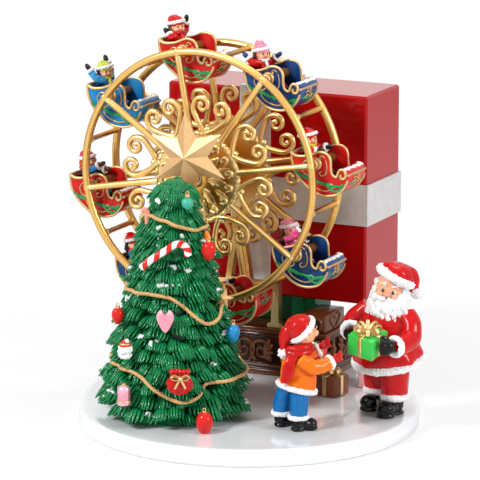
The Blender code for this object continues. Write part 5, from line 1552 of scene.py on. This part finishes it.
def make_child():
    """The child, seen from behind, with both arms held out for the gift."""
    rng = random.Random(33)
    place = stand(CHILD, CHILD_LOOKS_DEG)
    coat, trousers, fur, boots, mitten, skin, hat, scarf, cheeks = (Shape() for _ in range(9))
    for foot_x, foot_y, hip_x, hip_y in ((-1, -7.5, 0.5, -5.6), (-8.5, 7, -3, 5.4)):
        boot_shape(boots, (foot_x, foot_y, -0.1), 12, 9.5, 8.8, 0.5)
        leg = [(foot_x + 0.4, foot_y, 7.5), (foot_x + 1.2, foot_y * 0.95, 18), (hip_x, hip_y, 33)]
        trousers.tube(smooth_path(leg, 5), [6.2, 6.4, 7.2], 18)
        fur_band(fur, oval_path((foot_x + 0.4, foot_y, 9.4), 5.9, 5.7, 20), 1.8, rng, True)
    skirt = stand((1, 0, 31), 0, 14)
    coat.join(Shape().oval_rings([
        (0, 0, -3.4, 11.6, 12.4), (0, 0, -2.6, 12.9, 13.8), (0, 0, 1, 13.0, 13.8), (0, 0, 6, 11.8, 12.6),
        (0, 0, 12, 9.6, 10.4),
    ], 28), skirt)
    coat.oval_rings([
        (0.5, 0, 33, 11.2, 11.8), (0.5, 0, 40, 11.0, 11.7), (0.5, 0, 46, 10.6, 11.2),
        (0.8, 0, 51, 9.4, 10.0), (1.4, 0, 55, 6.6, 7.0), (1.6, 0, 58, 3, 3),
    ], 28)
    fur_band(fur, [skirt @ q for q in oval_path((0, 0, -2.6), 12.7, 13.6, 30)], 2.1, rng, True)
    near = ((0, -8.5, 50.6), (8, -11.4, 44.8), (15, -10.8, 44.8), (21.5, -9.0, 46.6))
    far = ((0, 8.5, 50.6), (8, 11.6, 46.6), (14, 10.8, 48.8), (18.6, 9.8, 51.4))
    sleeve(coat, fur, near, [5.2, 5.2, 4.8, 4.4], 4.0, 1.6, rng)
    sleeve(coat, fur, far, [5.0, 5.0, 4.5, 4.1], 3.8, 1.5, rng)
    for root, way in (((24, -8.4, 47.6), (5.2, 0.6, 2.4)), ((20.8, 9.4, 53), (4.8, -0.8, 3.2))):
        root, way = Vector(root), Vector(way)
        mitten.ball(root + way * 0.2, (2.9, 2.5, 2.5), 14, 9)
        for k in range(4):
            lift = Vector((0, (k - 1.5) * 0.9, (k - 1.5) * 1.15))
            finger = [root + lift * 0.5, root + way * 0.7 + lift, root + way * 1.25 + lift * 1.5]
            mitten.tube(finger, [1.3, 1.1, 0.75], 8)
        thumb = [root, root + Vector((0.6, 0.4, 2.6)), root + Vector((1.6, 0.6, 4.4))]
        mitten.tube(thumb, [1.3, 1.2, 0.8], 8)
    scarf.tube(oval_path((1.2, 0, 57.6), 7.8, 8.2, 28, -8), 2.6, 12, closed=True)
    scarf.tube(oval_path((1.2, 0, 54.2), 8.6, 9.0, 28, -4), 2.5, 12, closed=True)
    flat = ((1, 0.3), (0.8, 0.5), (-0.8, 0.5), (-1, 0.3), (-1, -0.3), (-0.8, -0.5), (0.8, -0.5), (1, -0.3))
    for tail, wide in (
        (((-4.6, -8.6, 54), (-8.4, -10.0, 49), (-10.4, -10.2, 42), (-11.6, -10.6, 34.6)), 2.7),
        (((-3.4, -9.0, 54), (-6.4, -11.2, 48), (-7.8, -12.0, 42.5), (-8.6, -12.4, 37.6)), 2.1),
    ):
        radii = [wide * 0.7, wide, wide, wide * 1.05]
        scarf.tube(smooth_path(tail, 5), radii, section=flat, across=(0.9, -0.4, 0.2))
    head = stand((4.8, 0, 66.6), 0, -24)
    face = Shape().ball((0, 0, 0), (8.9, 8.9, 9.0), 26, 18)
    face.ball((9.1, 0, -0.8), (1.6, 1.4, 1.3), 12, 8)
    for side in (-1, 1):
        face.ball((6.4, side * 4.6, -2.6), (2.9, 2.9, 2.5), 14, 9)
        cheeks.ball((7.0, side * 5.6, -2.8), (1.9, 1.9, 1.6), 12, 8)
        face.ball((-0.4, side * 9.1, -1.4), (1.6, 1.2, 2.1), 12, 8)
    skin.join(face, head)
    skin.tube([(2.4, 0, 54), (4, 0, 62)], 5.0, 16)
    cap = stand((3.8, 0, 68.7), 180, 45)
    dome = [
        (0, 0, -3, 9.6, 9.6), (0, 0, 0, 10.2, 10.2), (0.1, 0, 3.4, 10.3, 10.4), (0.4, 0, 6.6, 9.4, 9.6),
        (0.9, 0, 9.2, 7.2, 7.4), (1.6, 0, 10.9, 4.2, 4.4), (2.0, 0, 11.5, 0, 0),
    ]
    tail = [(3.4, 0, 5.0), (8.6, 0, 6.0), (13.4, 0, 4.2), (17.0, 0, 0.8), (19.0, 0, -1.4)]
    pom = cap @ Vector((19.8, 0, -2.2))
    hood(hat, fur, cap, dome, (tail, [5.6, 5.0, 3.9, 2.8, 2.4]), pom, 4.0, 9.8, 2.3, rng)
    eyes = Shape()
    for side in (-1, 1):
        eyes.ball((8.7, side * 3.1, 1.0), (0.8, 0.95, 1.2), 12, 8)
    lips = Shape().tube(smooth_path([(8.5, -1.9, -4.0), (9.2, 0, -4.8), (8.5, 1.9, -4.0)], 4), 0.5, 8)
    figure("child", "stand", place, "orange_resin", (
        ("coat", coat, "orange", 0.65, 4, (6.0, 0.6, 5)),
        ("trousers", trousers, "trousers", 0.6, 2, (5.0, 0.5, 4)),
        ("fur", fur, "fur", 0.5, 1, (1.1, 0.5, 1)),
        ("boots", boots, "black", 0.5, 3, None),
        ("mittens", mitten, "red", 0.42, 2, None),
        ("head", skin, "skin", 0.45, 3, None),
    ))
    piece("child_cheeks", Shape().join(cheeks, head), FINISH["rosy"], "stand", matrix=place)
    figure("child", "stand", place, None, (
        ("hat", hat, "red", 0.55, 3, (6.0, 0.5, 8)),
        ("scarf", scarf, "red", 0.45, 2, (4.0, 0.6, 3)),
    ))
    piece("child_eyes", eyes, FINISH["black"], "stand", matrix=place @ head)
    piece("child_lips", lips, FINISH["red"], "stand", matrix=place @ head)


# The presents

RIBBON_SECTION = ((1.0, 0.16), (-1.0, 0.16), (-1.0, -0.16), (1.0, -0.16))


def ribbon_bow(shape, centre, size, width, loops=8):
    """A bow of broad loops round a knot."""
    centre = Vector(centre)
    for i in range(loops):
        angle = math.tau * (i + 0.5) / loops + 0.2
        out = Vector((math.cos(angle), math.sin(angle), 0))
        side = Vector((-out.y, out.x, 0))
        loop = ((0.0, 0.1), (0.7, 0.75), (1.35, 0.8), (1.5, 0.35), (1.0, 0.08), (0.1, 0.0))
        path = smooth_path([centre + out * size * x + Vector((0, 0, size * z)) for x, z in loop], 5)
        shape.tube(path, width / 2, across=tuple(side), section=RIBBON_SECTION)
    shape.ball(centre + Vector((0, 0, size * 0.25)), (size * 0.36, size * 0.36, size * 0.3), 14, 9)


def make_present(name, place, size, strap, bow_size, paper, ribbon):
    """A wrapped box: place puts the middle of its underside."""
    a, b, h = size
    t = 0.5  # how far the ribbon stands out from the paper
    box = Shape().block((-a / 2, -b / 2, 0), (a / 2, b / 2, h))
    band = Shape()
    band.block((-strap / 2, -b / 2 - t, 0.2), (strap / 2, b / 2 + t, h + t))
    band.block((-a / 2 - t, -strap / 2, 0.2), (a / 2 + t, strap / 2, h + t + 0.05))
    bow = Shape()
    ribbon_bow(bow, (0, 0, h + 0.3), bow_size, strap * 0.8)
    piece(f"{name}_paper", box, FINISH[paper], "stand", [name], matrix=place, bevel=0.6)
    piece(f"{name}_ribbon", band, FINISH[ribbon], "stand", matrix=place, bevel=0.15)
    piece(f"{name}_bow", bow, FINISH[ribbon], "stand", matrix=place, sharp=50)


def make_presents():
    """The presents on the ground, and Santa's gift."""
    for name, spot, size, turn, strap, bow_size, paper, ribbon in (
        ("present_brown", (40.8, 50.9, FLOOR), (17.5, 17.5, 14.2), -11.6, 2.8, 4.4, "brown", "gilt"),
        ("present_pink", (56, 84, FLOOR), (16, 14, 30), 20, 3.0, 3.4, "pink", "garland"),
        ("present_red", (19, 66, FLOOR), (15, 15, 28), -8, 3.2, 3.8, "red", "gilt"),
    ):
        make_present(name, stand(spot, turn), size, strap, bow_size, paper, ribbon)
    centre = stand(SANTA, SANTA_LOOKS_DEG) @ Vector((31.6, 8, 56))
    leaning = stand(centre, GIFT_LEANS_TO_DEG, GIFT_LEAN_DEG)
    place = leaning @ stand((0, 0, -7.5), GIFT_TURN_DEG - GIFT_LEANS_TO_DEG)
    make_present("santa_gift", place, (20, 20, 15), 2.8, 6.4, "gift_green", "gilt")


# The stage

WHITE = (1.0, 1.0, 1.0, 1.0)
# The lamps: name, place in metres, size in metres and power in watts
LAMPS = (
    ("key", (-0.8, -1.4, 1.4), 0.45, 34.0),
    ("side", (1.7, -0.2, 0.9), 0.5, 19.0),
    ("top", (0.1, 0.3, 1.7), 0.7, 6.5),
)
LAMPS_AIM = Vector((0, 0, 0.12))


def make_stage():
    """The pale floor, the soft world and three lamps."""
    bpy.ops.mesh.primitive_plane_add(size=12, location=(0, 0, 0))
    floor = bpy.context.object
    floor.name = "studio_floor"
    material = bpy.data.materials.new("studio_floor")
    material.use_nodes = True
    tree = material.node_tree
    tree.nodes.clear()
    # Near the object the floor takes its shadow, and further out it fades into the white backdrop.
    where = add(material, "TexCoord").outputs["Object"]
    away = add(material, "VectorMath", links={0: where}, operation="LENGTH").outputs["Value"]
    reach = {"From Min": 0.12, "From Max": 0.6, "To Min": 0.72, "To Max": 1.0}
    fade = add(material, "MapRange", reach, {"Value": away}).outputs["Result"]
    camera_ray = add(material, "LightPath").outputs["Is Camera Ray"]
    seen = add(material, "Math", links={0: camera_ray, 1: fade}, operation="MULTIPLY").outputs[0]
    plain = add(material, "BsdfDiffuse", {"Color": linear("F2F2F2")}).outputs[0]
    sheet = add(material, "Emission", {"Color": WHITE, "Strength": 1.02}).outputs[0]
    both = add(material, "MixShader", links={0: seen, 1: plain, 2: sheet}).outputs[0]
    add(material, "OutputMaterial", links={"Surface": both})
    floor.data.materials.append(material)

    # The world lights softly, and the camera, metal and glass see it white.
    world = bpy.data.worlds.new("studio")
    bpy.context.scene.world = world
    world.use_nodes = True
    world.node_tree.nodes.clear()
    rays = add(world, "LightPath").outputs
    seen = rays["Is Camera Ray"]
    for kind in ("Is Glossy Ray", "Is Transmission Ray"):
        seen = add(world, "Math", links={0: seen, 1: rays[kind]}, operation="MAXIMUM").outputs[0]
    soft = add(world, "Background", {"Color": WHITE, "Strength": 0.3}).outputs[0]
    white = add(world, "Background", {"Color": WHITE, "Strength": 1.0}).outputs[0]
    both = add(world, "MixShader", links={0: seen, 1: soft, 2: white}).outputs[0]
    add(world, "OutputWorld", links={"Surface": both})

    for name, spot, size, power in LAMPS:
        data = bpy.data.lights.new(name, "AREA")
        data.shape = "DISK"
        data.size = size
        data.energy = power
        lamp = bpy.data.objects.new(name, data)
        lamp.location = spot
        lamp.rotation_euler = (Vector(spot) - LAMPS_AIM).to_track_quat("Z", "Y").to_euler()
        bpy.context.scene.collection.objects.link(lamp)


def make_camera():
    """The camera at the photograph's angle, and the plain view transform."""
    azimuth, elevation = math.radians(CAMERA_AZIMUTH_DEG), math.radians(CAMERA_ELEVATION_DEG)
    level = math.cos(elevation)
    back = Vector((math.sin(azimuth) * level, -math.cos(azimuth) * level, math.sin(elevation)))
    data = bpy.data.cameras.new("camera")
    data.lens = CAMERA_LENS
    data.sensor_width = 36.0
    data.clip_start = 0.1
    data.clip_end = 20.0
    camera = bpy.data.objects.new("camera", data)
    camera.location = at(CAMERA_TARGET) + back * CAMERA_AWAY * MM
    camera.rotation_euler = back.to_track_quat("Z", "Y").to_euler()
    bpy.context.scene.collection.objects.link(camera)
    bpy.context.scene.camera = camera
    bpy.context.scene.view_settings.view_transform = "Standard"


make_camera()
make_stage()
make_base()
make_chest()
make_box()
make_wheel()
make_sleighs()
tree_skin = make_tree()
make_garlands(tree_skin)
make_trimmings(tree_skin)
make_santa()
make_child()
make_presents()
